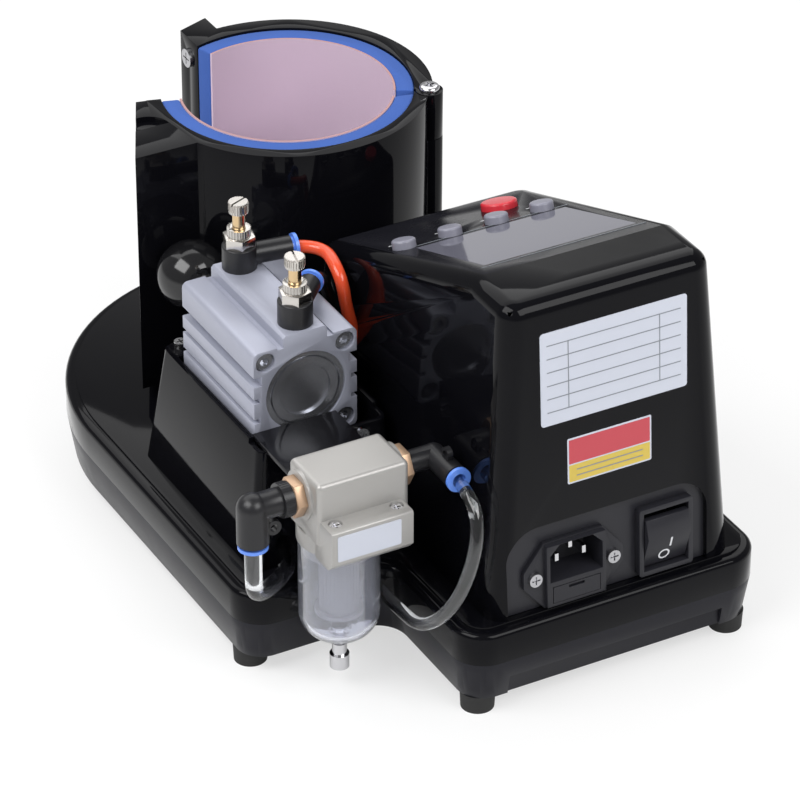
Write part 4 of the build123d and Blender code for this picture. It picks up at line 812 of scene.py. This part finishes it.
def makeCamera():
    back = directionOf(studio["azimuth"], studio["elevation"])
    turn = math.radians(studio["azimuth"])
    roll = math.radians(studio["roll"])
    side = Vector((math.cos(turn), math.sin(turn), 0))
    side = side * math.cos(roll) + back.cross(side) * math.sin(roll)
    lens = bpy.data.cameras.new("mainCamera")
    lens.lens = studio["lens"]
    lens.sensor_width = studio["sensor"]
    lens.clip_end = studio["clipEnd"]
    camera = newPiece("mainCamera", lens)
    camera.location = target + back * studio["distance"]
    aim(camera, back, side)
    bpy.context.scene.camera = camera


def makeLamp(name, facts):
    light = bpy.data.lights.new(name, "AREA")
    light.shape = "RECTANGLE"
    light.size, light.size_y = facts["size"]
    light.energy = facts["power"]
    lamp = newPiece(name, light)
    way = directionOf(facts["azimuth"], facts["elevation"])
    lamp.location = target + way * facts["distance"]
    aim(lamp, way, Vector((0, 0, 1)).cross(way).normalized())


target = at(*studio["target"])
makeCamera()
# lamps: angles in degrees, distance and size in metres, power in watts
lamps = {
    "keyLamp": {"azimuth": -80, "elevation": 50, "distance": 1.5, "size": (1.1, 0.8), "power": 18},
    "fillLamp": {"azimuth": 18, "elevation": 42, "distance": 1.6, "size": (1.0, 0.8), "power": 14},
    "backLamp": {"azimuth": 170, "elevation": 55, "distance": 1.5, "size": (2.2, 1.2), "power": 14},
}
for name, facts in lamps.items():
    makeLamp(name, facts)


worldLight = {"colour": (1, 1, 1, 1), "strength": 0.35}
# the floor's half width in metres, and how much it glows to the camera, straight or through glass, and
# to reflections
floorFacts = {"half": 12.0, "colour": (0.8, 0.8, 0.8, 1), "toCamera": 0.62, "toReflection": 0.3}


def makeWorld():
    world = bpy.data.worlds.new("studioWorld")
    world.use_nodes = True
    background = world.node_tree.nodes["Background"]
    background.inputs["Color"].default_value = worldLight["colour"]
    background.inputs["Strength"].default_value = worldLight["strength"]
    bpy.context.scene.world = world


def makeFloor():
    # part of it glows, so that it shows white, and the rest takes the shadows
    half = floorFacts["half"]
    corners = [(-half, -half, 0), (half, -half, 0), (half, half, 0), (-half, half, 0)]
    mesh = bpy.data.meshes.new("studioFloor")
    mesh.from_pydata(corners, [], [(0, 1, 2, 3)])
    floor = newPiece("studioFloor", mesh)
    material = bpy.data.materials.new("studioFloor")
    material.use_nodes = True
    tree = material.node_tree
    surface = tree.nodes["Principled BSDF"]
    surface.inputs["Base Color"].default_value = floorFacts["colour"]
    surface.inputs["Roughness"].default_value = 1.0
    surface.inputs["Specular IOR Level"].default_value = 0.0
    path = addNode(tree, "ShaderNodeLightPath")
    glow = addNode(tree, "ShaderNodeEmission", {"Color": (1, 1, 1, 1), "Strength": 1.0})
    seen = addNode(tree, "ShaderNodeMath", operation="MAXIMUM")
    share = addNode(tree, "ShaderNodeMath", {1: floorFacts["toCamera"]}, operation="MULTIPLY")
    mirrored = addNode(tree, "ShaderNodeMath", {1: floorFacts["toReflection"]}, operation="MULTIPLY")
    either = addNode(tree, "ShaderNodeMath", operation="MAXIMUM")
    mix = addNode(tree, "ShaderNodeMixShader")
    link = tree.links.new
    link(path.outputs["Is Camera Ray"], seen.inputs[0])
    link(path.outputs["Is Transmission Ray"], seen.inputs[1])
    link(seen.outputs["Value"], share.inputs[0])
    link(path.outputs["Is Glossy Ray"], mirrored.inputs[0])
    link(share.outputs["Value"], either.inputs[0])
    link(mirrored.outputs["Value"], either.inputs[1])
    link(either.outputs["Value"], mix.inputs["Fac"])
    link(surface.outputs["BSDF"], mix.inputs[1])
    link(glow.outputs["Emission"], mix.inputs[2])
    link(mix.outputs["Shader"], tree.nodes["Material Output"].inputs["Surface"])
    mesh.materials.append(material)


makeWorld()
makeFloor()
bpy.context.scene.view_settings.view_transform = "Standard"
print("studio ready")
